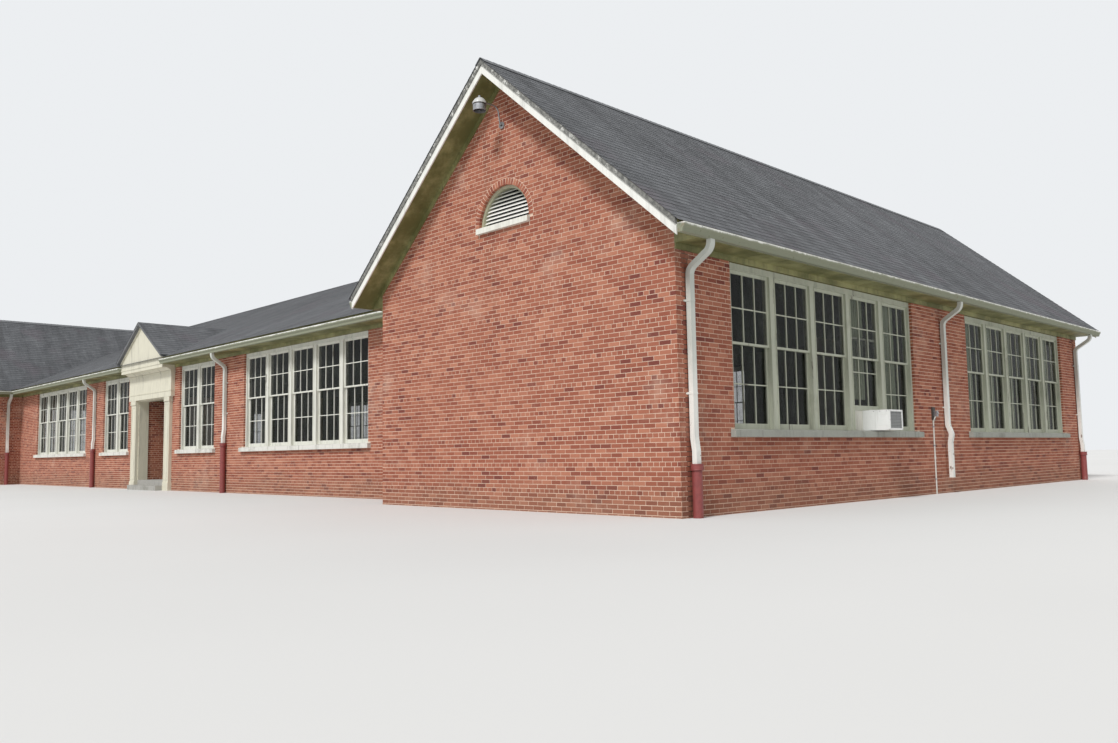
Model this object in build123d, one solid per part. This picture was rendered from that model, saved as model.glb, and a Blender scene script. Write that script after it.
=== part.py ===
# School building of brick, one storey on an H plan, made as a half-size (1:2) scale model.
# Two gabled wings stand at the ends of a lower-pitched hall whose ridge reaches the wing ridges.
# All sizes are millimetres of the model, which are half of the real building's.
# X runs along the building, the entrance front faces -Y and +Z is up.
# The origin is on the ground at the centre of the plan.

import os
from math import cos, radians, sin

from build123d import *

# Plan
HALF_LENGTH = 11000  # centre of the plan to the outer face of a wing's side wall
WING_WIDTH = 3610  # a wing, between the outer faces of its long walls
WING_DEPTH = 8625  # between the outer faces of the two gable walls of a wing
HALL_RECESS = 600  # the hall's walls stand back this far from the gable walls
WALL = 150
FLOOR_TOP = 150

# Roofs
EAVE_Z = 2024  # top of the roof at the rafter ends, the same on every eave
WING_SLOPE = 0.87
ROOF_DEPTH = 108  # rafters, boards and shingles, measured plumb
EAVE_OUT = 185  # wall face to the rafter ends
RAKE_OUT = 215  # gable wall to the ends of the roof
CAP_WIDTH = 62  # ridge cap, each side of the ridge
CAP = 6

# Eave and rake boards
BOARD = 12
JOINT = 0.3  # open joint between boards or gutters that butt
SOFFIT = 8
FRIEZE_HEIGHT = 42
RAKE_MOULD_DROP = 48  # plumb height of the mould under the shingles of a rake
RAKE_MOULD = 22
RAKE_FASCIA_DROP = 120  # top of the roof to the lower edge of the rake board
RAKE_FRIEZE_HEIGHT = 54
RAKE_SOFFIT = 8

# Gutters and downspouts
GUTTER_WIDTH = 60
GUTTER_HEIGHT = 64
GUTTER_FOOT = 42
GUTTER_DROP = 48  # lip of the gutter below the top of the roof edge
GUTTER_SHEET = 3
GUTTER_SHOULDER = 22  # height of the ogee's lower bend
GUTTER_BREAST = 42  # height of its upper bend
SPOUT_WIDTH = 50
SPOUT_DEPTH = 38
SPOUT_GAP = 12  # wall to the back of a downspout
SPOUT_BEND = 75
SPOUT_OUTLET = 60  # gutter to the first bend of a downspout
SPOUT_THROW = 120  # height of the offset under the gutter
KICK = 34  # offset of the free downspout near its foot
KICK_HEIGHT = 90
CORNER_BOOT_TOP = 370
HALL_BOOT_TOP = 680
FREE_SPOUT_FOOT = 155
FREE_SPOUT_KICK_Z = 590
BOOT_RADIUS = 36
HUB_RADIUS = 44
HUB_HEIGHT = 46
BOOT_BORE = 33
BOOT_SOCKET = 60
CORNER_SPOUT_IN = 125  # gable wall to the middle of a corner downspout
HALL_SPOUT_X = 2650
RETURN_SPOUT_OUT = 260  # hall wall to the middle of a downspout on a return wall

# Windows
UNIT = 605  # pitch of the double-hung units of a group
GROUP_UNITS = 5
PAIR_UNITS = 2
SILL_Z = 616
SILL_THICK = 60
SILL_NOSE = 45
SILL_EAR = 50
SILL_FALL = 9
FRAME_SET = 26  # wall face to the front of a window frame
FRAME_DEPTH = 66
MULLION = 78
FRAME_HEAD = 50
SASH = 18
SASH_PLAY = 1
STILE = 26
BOTTOM_RAIL = 44
MEETING_RAIL = 18
MEETING_Z = 1255
GLASS = 3
SIDE_GROUP_Y = 2150
HALL_GROUP_X = 4687.5
HALL_PAIR_X = 1655

# Entrance
ENTRANCE_WIDTH = 1170
ENTRANCE_HEAD = 1430
PORCH_DEPTH = 900  # hall's outer wall face to the door screen
PILASTER_WIDTH = 200
PILASTER_OUT = 50
PILASTER_BASE = 120
PILASTER_CAP = 60
PILASTER_LIP = 10
LINING = 14
STEP_RISE = 75
STEP_TREAD = 160
ENTABLATURE_OUT = 62
PEDIMENT_HALF = 860
PEDIMENT_SLOPE = 0.62
PEDIMENT_ROOF = 45
PEDIMENT_EAVE = 60
DOOR_HEIGHT = 1050
DOOR = 24
DOOR_PANEL = 10
DOOR_STILE = 60
DOOR_RAIL = 70
DOOR_LOCK_Z = 430
DOOR_PLAY = 2
SCREEN = 50
SCREEN_DEPTH = 60

# Gable vents
VENT_RADIUS = 318
VENT_FRAME = 24
VENT_FRAME_DEPTH = 70
VENT_SET = 26
VENT_DROP = 1406  # ridge to the foot of a vent's sill
VENT_SILL_HEIGHT = 56
VENT_SILL_EAR = 10
VENT_SILL_NOSE = 34
LOUVRES = 9
LOUVRE_THICK = 6
LOUVRE_WIDTH = 40
LOUVRE_TILT = 38
LOUVRE_START = 4  # top of the vent's sill to the lowest blade

# Fittings
LAMP_DROP = 515  # ridge to the middle of the lamp's wall plate
LAMP_REACH = 250  # gable wall to the middle of the lamp's head
LAMP_RISE = 150  # wall plate to the middle of the cap
LAMP_PIPE = 6
LAMP_PLATE = 30
LAMP_STUB = 26
LAMP_BENDS = (14, 60)
LAMP_CAP_RADIUS = 40
LAMP_CAP_HEIGHT = 40
LAMP_CROWN_RADIUS = 28
LAMP_SHOULDER = 8
LAMP_SKIRT_RADIUS = 55
LAMP_SKIRT_HEIGHT = 66
LAMP_WALL = 3
LAMP_EYE_RADIUS = 11
LAMP_EYE_HEIGHT = 24
LAMP_BULB_RADIUS = 26
LAMP_BULB_DROP = 34  # underside of the cap to the middle of the bulb
AC_WIDTH = 250
AC_HEIGHT = 180
AC_OUT = 190
AC_IN = 90
AC_SHIFT = 80  # middle of the case from the middle of its unit
AC_UNIT = 3  # fourth unit from the front
AC_FILLER = 8
AC_BORDER = 16  # case around the grille's recess
AC_RECESS = 12
METER_FROM_GROUP = 360  # front window group to the middle of the meter board
METER_Z = 790
METER_WIDTH = 36
METER_HEIGHT = 54
METER_DEPTH = 30
METER_SHIFT = 10
METER_ROUND = 5
METER_BOARD = 14
METER_BOARD_WIDTH = 62
METER_BOARD_HEIGHT = 126
CONDUIT_RADIUS = 7

# Curtains behind the right side wall's windows
CURTAIN_WIDTH = 400
CURTAIN_DEPTH = 30
CURTAIN_FOOT = 650
SHORT_CURTAIN_FOOT = 900  # over the air conditioner
CURTAIN_PLAY = 0.3
ROD_RADIUS = 6
ROD_BACK = 28  # window frame to the middle of a rod
ROD_END = 9  # last bracket to the end of a rod
ROD_BRACKET = 8
ROD_BRACKET_HEIGHT = 12

# Places that follow from the sizes above
HALF_WING = WING_WIDTH / 2
RIDGE_X = HALF_LENGTH - HALF_WING
INNER_X = HALF_LENGTH - WING_WIDTH
GABLE_Y = WING_DEPTH / 2
HALL_Y = GABLE_Y - HALL_RECESS
EAVE_RUN = HALF_WING + EAVE_OUT
HALL_RUN = HALL_Y + EAVE_OUT
RIDGE_Z = EAVE_Z + WING_SLOPE * EAVE_RUN
HALL_SLOPE = (RIDGE_Z - EAVE_Z) / HALL_RUN
UNDER_RIDGE = RIDGE_Z - ROOF_DEPTH
SOFFIT_TOP = EAVE_Z - ROOF_DEPTH
SOFFIT_Z = SOFFIT_TOP - SOFFIT
WINDOW_HEAD = SOFFIT_Z - FRIEZE_HEIGHT
RAKE_Y = GABLE_Y + RAKE_OUT
GUTTER_Z = EAVE_Z - GUTTER_DROP - GUTTER_HEIGHT
GUTTER_BACK = EAVE_OUT + BOARD
SPOUT_OUT = SPOUT_GAP + SPOUT_DEPTH / 2
INNER_EAVE_X = INNER_X - EAVE_OUT
VENT_SPRING_Z = RIDGE_Z - VENT_DROP + VENT_SILL_HEIGHT
LAMP_Z = RIDGE_Z - LAMP_DROP
PORCH_HALF = ENTRANCE_WIDTH / 2
METER_Y = -SIDE_GROUP_Y + GROUP_UNITS * UNIT / 2 + METER_FROM_GROUP
ROD_Z = WINDOW_HEAD - FRAME_HEAD / 2


def block(x0, x1, y0, y1, z0, z1):
    """Box between two corners."""
    middle = Pos((x0 + x1) / 2, (y0 + y1) / 2, (z0 + z1) / 2)
    return middle * Box(abs(x1 - x0), abs(y1 - y0), abs(z1 - z0))


def upright(radius, height):
    """Cylinder that stands on the origin."""
    return Cylinder(radius, height, align=(Align.CENTER, Align.CENTER, Align.MIN))


def xz_prism(outline, y0, y1):
    """Solid whose outline lies in X and Z, between two values of Y."""
    plane = Plane(origin=(0, y0, 0), x_dir=(1, 0, 0), z_dir=(0, -1, 0))
    return extrude(plane * Polygon(*outline, align=None), amount=y1 - y0, dir=(0, 1, 0))


def yz_prism(outline, x0, x1):
    """Solid whose outline lies in Y and Z, between two values of X."""
    plane = Plane(origin=(x0, 0, 0), x_dir=(0, 1, 0), z_dir=(1, 0, 0))
    return extrude(plane * Polygon(*outline, align=None), amount=x1 - x0, dir=(1, 0, 0))


def flip_x(solid):
    return mirror(solid, about=Plane.YZ)


def flip_y(solid):
    return mirror(solid, about=Plane.XZ)


def left_and_right(solid):
    return [solid, flip_x(solid)]


def front_and_rear(solid):
    return [solid, flip_y(solid)]


def at_four_corners(solid):
    return [copy for side in left_and_right(solid) for copy in front_and_rear(side)]


def wing_under(x):
    """Underside of a right wing's roof at a place along X."""
    return UNDER_RIDGE - WING_SLOPE * abs(x - RIDGE_X)


def hall_under(y):
    """Underside of the hall's roof at a place along Y."""
    return UNDER_RIDGE - HALL_SLOPE * abs(y)


def on_front(solid, x):
    """A piece made against the wall plane Y = 0, moved to the hall's front wall."""
    return Pos(x, -HALL_Y, 0) * solid


def on_side(solid, y):
    """A piece made against the wall plane Y = 0, turned to the right wing's side wall."""
    return Pos(HALF_LENGTH, y, 0) * Rot(0, 0, 90) * solid


# Windows are made against the plane Y = 0, with the wall behind it and the open air at -Y.


def window_hole(units):
    half = units * UNIT / 2
    return block(-half, half, -WALL, 2 * WALL, SILL_Z - SILL_THICK, WINDOW_HEAD)


def window_sill(units):
    """Sloping sill that fills the foot of the opening, with ears in front of the wall."""
    half = units * UNIT / 2
    foot = SILL_Z - SILL_THICK
    back = FRAME_SET + FRAME_DEPTH
    outline = [(-SILL_NOSE, foot), (back, foot), (back, SILL_Z), (FRAME_SET, SILL_Z)]
    outline += [(-SILL_NOSE, SILL_Z - SILL_FALL)]
    fall_at_wall = SILL_FALL * FRAME_SET / (FRAME_SET + SILL_NOSE)
    ear = [(-SILL_NOSE, foot), (0, foot), (0, SILL_Z - fall_at_wall), (-SILL_NOSE, SILL_Z - SILL_FALL)]
    nose = yz_prism(ear, -half - SILL_EAR, half + SILL_EAR)
    return yz_prism(outline, -half, half) + nose


def window_frame(units):
    """Jambs, mullions and head of one group, open at the sill."""
    half = units * UNIT / 2
    clear = UNIT - MULLION
    frame = block(-half, half, FRAME_SET, FRAME_SET + FRAME_DEPTH, SILL_Z, WINDOW_HEAD)
    for x in unit_middles(units):
        light = block(x - clear / 2, x + clear / 2, 0, WALL, SILL_Z - SILL_THICK, WINDOW_HEAD - FRAME_HEAD)
        frame -= light
    return frame


def sash(y, z0, z1, bottom, top):
    """One sash and its glass, seated between its stiles and rails."""
    half = (UNIT - MULLION) / 2
    light = (STILE - half, half - STILE)
    leaf = block(-half, half, y, y + SASH, z0, z1)
    leaf -= block(*light, y - SASH, y + 2 * SASH, z0 + bottom, z1 - top)
    middle = y + (SASH - GLASS) / 2
    pane = block(*light, middle, middle + GLASS, z0 + bottom, z1 - top)
    return leaf, pane


HALL_GROUPS = [(HALL_GROUP_X, GROUP_UNITS), (HALL_PAIR_X, PAIR_UNITS)]
SIDE_GROUPS = [(-SIDE_GROUP_Y, GROUP_UNITS), (SIDE_GROUP_Y, GROUP_UNITS)]


def around_building(make):
    """The same piece for every window group: both side walls, then the hall's front and rear."""
    side = [on_side(make(units), y) for y, units in SIDE_GROUPS]
    front = [on_front(make(units), x) for x, units in HALL_GROUPS]
    return [copy for piece in side for copy in left_and_right(piece)] + [
        copy for piece in front for copy in at_four_corners(piece)
    ]


def sash_unit(lift):
    """Upper and lower sash of one unit, in their tracks; the lower one may stand open."""
    outer_track = FRAME_SET + (FRAME_DEPTH - 2 * SASH - SASH_PLAY) / 2
    inner_track = outer_track + SASH + SASH_PLAY
    upper = sash(outer_track, MEETING_Z, WINDOW_HEAD - FRAME_HEAD, MEETING_RAIL, STILE)
    lower = sash(inner_track, SILL_Z + lift, MEETING_Z + MEETING_RAIL + lift, BOTTOM_RAIL, MEETING_RAIL)
    return upper + lower


def unit_middles(units):
    """Middles of the units of a group, from its own middle."""
    return [(unit - (units - 1) / 2) * UNIT for unit in range(units)]


def window_sets():
    """Upper sashes, upper panes, lower sashes and lower panes of the whole building."""
    closed = sash_unit(0)
    raised = sash_unit(AC_HEIGHT)
    sets = ([], [], [], [])
    for y, units in SIDE_GROUPS:
        for unit, shift in enumerate(unit_middles(units)):
            with_case = y < 0 and unit == AC_UNIT
            for kind, piece in enumerate(raised if with_case else closed):
                sets[kind].append(on_side(piece, y + shift))
            for kind, piece in enumerate(closed):
                sets[kind].append(flip_x(on_side(piece, y + shift)))
    for x, units in HALL_GROUPS:
        for shift in unit_middles(units):
            for kind, piece in enumerate(closed):
                sets[kind].extend(at_four_corners(on_front(piece, x + shift)))
    return sets


# Walls and floors


def vent_hole():
    """Round-headed opening of a gable vent, against the plane Y = 0."""
    arch = extrude(Plane.XZ * Circle(VENT_RADIUS), amount=2 * WALL, both=True)
    arch = split(arch, bisect_by=Plane.XY, keep=Keep.TOP)
    slot = block(-VENT_RADIUS, VENT_RADIUS, -2 * WALL, 2 * WALL, -VENT_SILL_HEIGHT, 0)
    return Pos(0, 0, VENT_SPRING_Z) * (arch + slot)


def gable_wall():
    """Front gable wall of the right wing, up to the underside of the roof."""
    outline = [
        (INNER_X, 0),
        (HALF_LENGTH, 0),
        (HALF_LENGTH, wing_under(HALF_LENGTH)),
        (RIDGE_X, UNDER_RIDGE),
        (INNER_X, wing_under(INNER_X)),
    ]
    wall = xz_prism(outline, -GABLE_Y, -GABLE_Y + WALL)
    return wall - Pos(RIDGE_X, -GABLE_Y, 0) * vent_hole()


def side_wall():
    inner = HALF_LENGTH - WALL
    outline = [(inner, 0), (HALF_LENGTH, 0)]
    outline += [(HALF_LENGTH, wing_under(HALF_LENGTH)), (inner, wing_under(inner))]
    wall = xz_prism(outline, -GABLE_Y + WALL, GABLE_Y - WALL)
    for y, units in SIDE_GROUPS:
        wall -= on_side(window_hole(units), y)
    return wall


def return_wall():
    """Short wall between a gable wall and the hall's front wall."""
    inner = INNER_X + WALL
    outline = [(INNER_X, 0), (inner, 0), (inner, wing_under(inner)), (INNER_X, wing_under(INNER_X))]
    return xz_prism(outline, -GABLE_Y + WALL, -HALL_Y + WALL)


def hall_wall(x0, x1, z0=0):
    """Stretch of the hall's front wall, with its windows cut through."""
    inner = -HALL_Y + WALL
    outline = [(-HALL_Y, z0), (inner, z0), (inner, hall_under(inner)), (-HALL_Y, hall_under(HALL_Y))]
    wall = yz_prism(outline, x0, x1)
    for x, units in HALL_GROUPS:
        for side in (-1, 1):
            if x0 < side * x < x1:
                wall -= on_front(window_hole(units), side * x)
    return wall


def wing_floor():
    return block(INNER_X + WALL, HALF_LENGTH - WALL, -GABLE_Y + WALL, GABLE_Y - WALL, 0, FLOOR_TOP)


def hall_floor():
    edge = INNER_X + WALL
    return block(-edge, edge, -HALL_Y + WALL, HALL_Y - WALL, 0, FLOOR_TOP)


# Roofs


def valley_plane():
    """Plumb plane through the front valley of the right wing, facing the wing."""
    along = Vector(-EAVE_RUN, -HALL_RUN, 0)
    return Plane(origin=(RIDGE_X, 0, 0), x_dir=along, z_dir=(HALL_RUN, -EAVE_RUN, 0))


def outer_wing_roof():
    outline = [
        (RIDGE_X, RIDGE_Z),
        (RIDGE_X + EAVE_RUN, EAVE_Z),
        (RIDGE_X + EAVE_RUN, SOFFIT_TOP),
        (RIDGE_X, UNDER_RIDGE),
    ]
    return xz_prism(outline, -RAKE_Y, RAKE_Y)


def inner_wing_roof():
    """Front half of the right wing's inner slope, from the rake to the valley."""
    outline = [
        (RIDGE_X, RIDGE_Z),
        (RIDGE_X - EAVE_RUN, EAVE_Z),
        (RIDGE_X - EAVE_RUN, SOFFIT_TOP),
        (RIDGE_X, UNDER_RIDGE),
    ]
    return split(xz_prism(outline, -RAKE_Y, 0), bisect_by=valley_plane(), keep=Keep.TOP)


def hall_roof():
    """Front slope of the hall's roof, from valley to valley."""
    outline = [(0, RIDGE_Z), (-HALL_RUN, EAVE_Z), (-HALL_RUN, SOFFIT_TOP), (0, UNDER_RIDGE)]
    right_half = split(yz_prism(outline, 0, RIDGE_X), bisect_by=valley_plane(), keep=Keep.BOTTOM)
    return right_half + flip_x(right_half)


def ridge_cap(length, slope):
    """Folded cap along Y over a ridge at the origin, centred on its length."""
    drop = CAP_WIDTH * slope
    outline = [(0, 0), (CAP_WIDTH, -drop), (CAP_WIDTH, CAP - drop), (0, CAP)]
    outline += [(-CAP_WIDTH, CAP - drop), (-CAP_WIDTH, -drop)]
    return xz_prism(outline, -length / 2, length / 2)


def ridge_caps():
    """Caps of both wings, cut where the hall's roof meets them, and the cap of the hall."""
    wing = Pos(RIDGE_X, 0, RIDGE_Z) * ridge_cap(2 * (RAKE_Y + RAKE_MOULD), WING_SLOPE)
    for slope in front_and_rear(hall_roof()):
        wing -= slope
    hall = Rot(0, 0, 90) * ridge_cap(2 * (RIDGE_X - CAP_WIDTH - JOINT), HALL_SLOPE)
    return left_and_right(wing) + [Pos(0, 0, RIDGE_Z) * hall]


# Eaves: each run has a fascia on the rafter ends, a flat soffit and a frieze on the wall.


def eave_outlines(slope):
    """Outlines in (distance from the wall face, Z) of the boards along an eave."""
    fascia = [
        (EAVE_OUT, EAVE_Z),
        (GUTTER_BACK, EAVE_Z - slope * BOARD),
        (GUTTER_BACK, SOFFIT_Z),
        (EAVE_OUT, SOFFIT_Z),
    ]
    soffit = [(0, SOFFIT_Z), (EAVE_OUT, SOFFIT_Z), (EAVE_OUT, SOFFIT_TOP), (0, SOFFIT_TOP)]
    frieze = [(0, WINDOW_HEAD), (BOARD, WINDOW_HEAD), (BOARD, SOFFIT_Z), (0, SOFFIT_Z)]
    return {"fascia": fascia, "soffit": soffit, "frieze": frieze}


def board_end(name):
    """Where a board of a wing's eave ends in Y: the fascia runs on under the rake."""
    return {"fascia": RAKE_Y, "soffit": GABLE_Y - BOARD, "frieze": GABLE_Y}[name]


def side_board(name):
    """Board of the right wing's outer eave."""
    outline = [(HALF_LENGTH + out, z) for out, z in eave_outlines(WING_SLOPE)[name]]
    return xz_prism(outline, -board_end(name), board_end(name))


def inner_board(name):
    """Board of the right wing's short inner eave, in front of the hall."""
    ends = {"fascia": -HALL_Y - GUTTER_BACK - JOINT, "soffit": -HALL_Y, "frieze": -HALL_Y}
    outline = [(INNER_X - out, z) for out, z in eave_outlines(WING_SLOPE)[name]]
    return xz_prism(outline, -board_end(name), ends[name])


def hall_board(name, x0):
    """Board of the hall's front eave, from x0 to the right wing's inner eave."""
    ends = {"fascia": INNER_EAVE_X, "soffit": INNER_EAVE_X - JOINT, "frieze": INNER_X - BOARD - JOINT}
    outline = [(-HALL_Y - out, z) for out, z in eave_outlines(HALL_SLOPE)[name]]
    return yz_prism(outline, x0, ends[name])


def eave_boards(name):
    """Every run of one board around the building, front and rear."""
    side = left_and_right(side_board(name))
    inner = at_four_corners(inner_board(name))
    front = left_and_right(hall_board(name, PEDIMENT_HALF))
    rear_half = flip_y(hall_board(name, 0))
    return side + inner + front + [rear_half + flip_x(rear_half)]


def cornice_return():
    """Board that closes the end of the boxed eave, in line with the gable wall."""
    outer = HALF_LENGTH + EAVE_OUT
    outline = [
        (HALF_LENGTH, SOFFIT_Z),
        (outer, SOFFIT_Z),
        (outer, wing_under(outer)),
        (HALF_LENGTH, wing_under(HALF_LENGTH)),
    ]
    return xz_prism(outline, -GABLE_Y, -GABLE_Y + BOARD)


def cornice_returns():
    """Boards at both eaves of each gable."""
    outer = cornice_return()
    inner = mirror(outer, about=Plane(origin=(RIDGE_X, 0, 0), z_dir=(1, 0, 0)))
    return at_four_corners(outer) + at_four_corners(inner)


def chevron(half, top_drop, bottom_drop):
    """Outline of a pair of raking boards, measured plumb below the top of the roof."""
    end = RIDGE_Z - WING_SLOPE * half
    return [
        (RIDGE_X - half, end - bottom_drop),
        (RIDGE_X - half, end - top_drop),
        (RIDGE_X, RIDGE_Z - top_drop),
        (RIDGE_X + half, end - top_drop),
        (RIDGE_X + half, end - bottom_drop),
        (RIDGE_X, RIDGE_Z - bottom_drop),
    ]


def rake_mould():
    return xz_prism(chevron(EAVE_RUN + BOARD, 0, RAKE_MOULD_DROP), -RAKE_Y - RAKE_MOULD, -RAKE_Y)


def rake_fascia():
    return xz_prism(chevron(EAVE_RUN + BOARD, RAKE_MOULD_DROP, RAKE_FASCIA_DROP), -RAKE_Y - BOARD, -RAKE_Y)


def rake_soffits():
    """Two sloping boards under the roof in front of the gable wall, with an open joint below the ridge."""
    pair = xz_prism(chevron(EAVE_RUN, ROOF_DEPTH, ROOF_DEPTH + RAKE_SOFFIT), -RAKE_Y, -GABLE_Y)
    pair -= block(RIDGE_X - JOINT / 2, RIDGE_X + JOINT / 2, -RAKE_Y, -GABLE_Y, 0, RIDGE_Z)
    return pair.solids()


def rake_frieze():
    top = ROOF_DEPTH + RAKE_SOFFIT
    return xz_prism(chevron(HALF_WING, top, top + RAKE_FRIEZE_HEIGHT), -GABLE_Y - BOARD, -GABLE_Y)


# Gutters and downspouts


def gutter_profile():
    """Outline of an ogee gutter in (distance from the fascia, height above its foot)."""
    sheet = GUTTER_SHEET
    outer = [(0, GUTTER_HEIGHT), (0, 0), (GUTTER_FOOT, 0), (GUTTER_FOOT + sheet, GUTTER_SHOULDER)]
    outer += [(GUTTER_WIDTH, GUTTER_BREAST), (GUTTER_WIDTH, GUTTER_HEIGHT)]
    inner = [(GUTTER_WIDTH - sheet, GUTTER_HEIGHT), (GUTTER_WIDTH - sheet, GUTTER_BREAST + sheet / 2)]
    inner += [(GUTTER_FOOT, GUTTER_SHOULDER + sheet / 2), (GUTTER_FOOT - sheet, sheet)]
    inner += [(sheet, sheet), (sheet, GUTTER_HEIGHT)]
    return outer, inner


def gutter(length, closed=True):
    """Gutter along Y from the origin, with its back on the plane X = 0 and its far end closed or not."""
    outer, inner = gutter_profile()
    channel = xz_prism(outer + inner, 0, length) + xz_prism(outer, 0, GUTTER_SHEET)
    if closed:
        channel += xz_prism(outer, length - GUTTER_SHEET, length)
    return channel


def side_gutter():
    return Pos(HALF_LENGTH + GUTTER_BACK, -RAKE_Y, GUTTER_Z) * gutter(2 * RAKE_Y)


def inner_gutter():
    """Gutter of the right wing's short inner eave; it runs past the hall's gutter to the corner."""
    length = RAKE_Y - HALL_Y - GUTTER_BACK
    return Pos(INNER_X - GUTTER_BACK, -RAKE_Y, GUTTER_Z) * flip_x(gutter(length))


def gutters():
    rear_half = flip_y(hall_gutter(0, False))
    runs = left_and_right(side_gutter()) + at_four_corners(inner_gutter())
    return runs + left_and_right(hall_gutter(PEDIMENT_HALF, True)) + [rear_half + flip_x(rear_half)]


def hall_gutter(x0, closed):
    """Gutter of the hall's front eave, from x0 to the inner gutter."""
    end = INNER_X - GUTTER_BACK - GUTTER_WIDTH - JOINT
    return Pos(end, -HALL_Y - GUTTER_BACK, GUTTER_Z) * Rot(0, 0, 90) * flip_x(gutter(end - x0, closed))


def spout_run(points):
    """Downspout along a path in Y and Z, against the wall plane Y = 0."""
    line = FilletPolyline(*[(0, y, z) for y, z in points], radius=SPOUT_BEND)
    section = Plane(origin=line @ 0, x_dir=(1, 0, 0), z_dir=line % 0) * Rectangle(SPOUT_WIDTH, SPOUT_DEPTH)
    return sweep(section, path=line)


def offset_under_gutter():
    """First points of a downspout, in (Y, Z): out of the gutter and back towards the wall."""
    mouth = -GUTTER_BACK - GUTTER_FOOT / 2
    upper = GUTTER_Z - SPOUT_OUTLET
    return [(mouth, GUTTER_Z), (mouth, upper), (-SPOUT_OUT, upper - SPOUT_THROW)]


def downspout(foot):
    """Downspout from the gutter's foot, back to the wall and down into a boot."""
    kick = foot + BOOT_SOCKET + KICK_HEIGHT
    lower = [(-SPOUT_OUT, kick + KICK_HEIGHT), (-HUB_RADIUS, kick), (-HUB_RADIUS, foot)]
    return spout_run(offset_under_gutter() + lower)


def free_downspout():
    """Downspout with a crooked foot that ends above the ground."""
    out = -SPOUT_OUT - KICK
    end = -SPOUT_OUT - KICK / 2
    points = offset_under_gutter() + [(-SPOUT_OUT, FREE_SPOUT_KICK_Z + KICK_HEIGHT), (out, FREE_SPOUT_KICK_Z)]
    points += [(end, FREE_SPOUT_KICK_Z - KICK_HEIGHT), (end, FREE_SPOUT_FOOT)]
    return spout_run(points)


def boot(top):
    """Cast-iron boot with a hub, open at the top for the downspout's end."""
    pipe = upright(BOOT_RADIUS, top)
    hub = Pos(0, 0, top - HUB_HEIGHT) * upright(HUB_RADIUS, HUB_HEIGHT)
    socket = Pos(0, 0, top - BOOT_SOCKET) * upright(BOOT_BORE, BOOT_SOCKET)
    return Pos(0, -HUB_RADIUS, 0) * (pipe + hub - socket)


def side_spouts():
    """Downspouts of the right side wall: one at each corner and one in the middle."""
    corner = on_side(downspout(CORNER_BOOT_TOP - BOOT_SOCKET), -GABLE_Y + CORNER_SPOUT_IN)
    return front_and_rear(corner) + [on_side(free_downspout(), 0)]


def side_boots():
    corner = on_side(boot(CORNER_BOOT_TOP), -GABLE_Y + CORNER_SPOUT_IN)
    return front_and_rear(corner)


def hall_spout():
    return on_front(downspout(HALL_BOOT_TOP - BOOT_SOCKET), HALL_SPOUT_X)


def return_spout():
    """Downspout on the right wing's return wall, beside the inner corner."""
    piece = downspout(HALL_BOOT_TOP - BOOT_SOCKET)
    return Pos(INNER_X, -HALL_Y - RETURN_SPOUT_OUT, 0) * Rot(0, 0, -90) * piece


def return_boot():
    return Pos(INNER_X, -HALL_Y - RETURN_SPOUT_OUT, 0) * Rot(0, 0, -90) * boot(HALL_BOOT_TOP)


def downspouts():
    right = side_spouts() + front_and_rear(hall_spout()) + front_and_rear(return_spout())
    return [copy for spout in right for copy in left_and_right(spout)]


def boots():
    hall = on_front(boot(HALL_BOOT_TOP), HALL_SPOUT_X)
    right = side_boots() + front_and_rear(hall) + front_and_rear(return_boot())
    return [copy for piece in right for copy in left_and_right(piece)]


# Entrance


def entrance_step():
    """Threshold through the wall and one step in front of it."""
    face = -HALL_Y
    outline = [
        (face - STEP_TREAD, 0),
        (face + WALL, 0),
        (face + WALL, FLOOR_TOP),
        (face, FLOOR_TOP),
        (face, STEP_RISE),
        (face - STEP_TREAD, STEP_RISE),
    ]
    return yz_prism(outline, -PORCH_HALF, PORCH_HALF)


def porch_wall():
    """Right side wall of the recessed porch, behind the hall's front wall."""
    depth = (-HALL_Y + WALL, -HALL_Y + PORCH_DEPTH)
    return block(PORCH_HALF, PORCH_HALF + WALL, *depth, FLOOR_TOP, ENTRANCE_HEAD)


def porch_ceiling():
    half = PORCH_HALF + WALL
    depth = -HALL_Y + PORCH_DEPTH
    return block(-half, half, -HALL_Y + WALL, depth, ENTRANCE_HEAD, ENTRANCE_HEAD + BOARD)


def entrance_lining():
    """Painted boards on the jambs and head of the opening through the wall."""
    depth = (-HALL_Y, -HALL_Y + WALL)
    outer = block(-PORCH_HALF, PORCH_HALF, *depth, FLOOR_TOP, ENTRANCE_HEAD)
    inner = PORCH_HALF - LINING
    return outer - block(-inner, inner, -HALL_Y - WALL, -HALL_Y + 2 * WALL, 0, ENTRANCE_HEAD - LINING)


def pilaster():
    """Right pilaster with a base and a moulded cap."""
    face = -HALL_Y
    x0 = PORCH_HALF
    x1 = PORCH_HALF + PILASTER_WIDTH
    lip = PILASTER_LIP
    top = ENTRANCE_HEAD
    shaft = block(x0, x1, face - PILASTER_OUT, face, 0, top)
    base = block(x0, x1 + lip, face - PILASTER_OUT - lip, face, 0, PILASTER_BASE)
    cap = block(x0, x1 + lip, face - PILASTER_OUT - lip, face, top - PILASTER_CAP, top)
    return shaft + base + cap


def entablature():
    """Moulded beam over the pilasters, boxed out under the pediment."""
    face = -HALL_Y
    step = (GUTTER_BACK - ENTABLATURE_OUT) / 2
    outline = [
        (face, ENTRANCE_HEAD),
        (face - ENTABLATURE_OUT, ENTRANCE_HEAD),
        (face - ENTABLATURE_OUT, WINDOW_HEAD - FRIEZE_HEIGHT),
        (face - ENTABLATURE_OUT - step, WINDOW_HEAD),
        (face - GUTTER_BACK, WINDOW_HEAD),
        (face - GUTTER_BACK, SOFFIT_TOP),
        (face, SOFFIT_TOP),
    ]
    return yz_prism(outline, -PEDIMENT_HALF, PEDIMENT_HALF)


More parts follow.
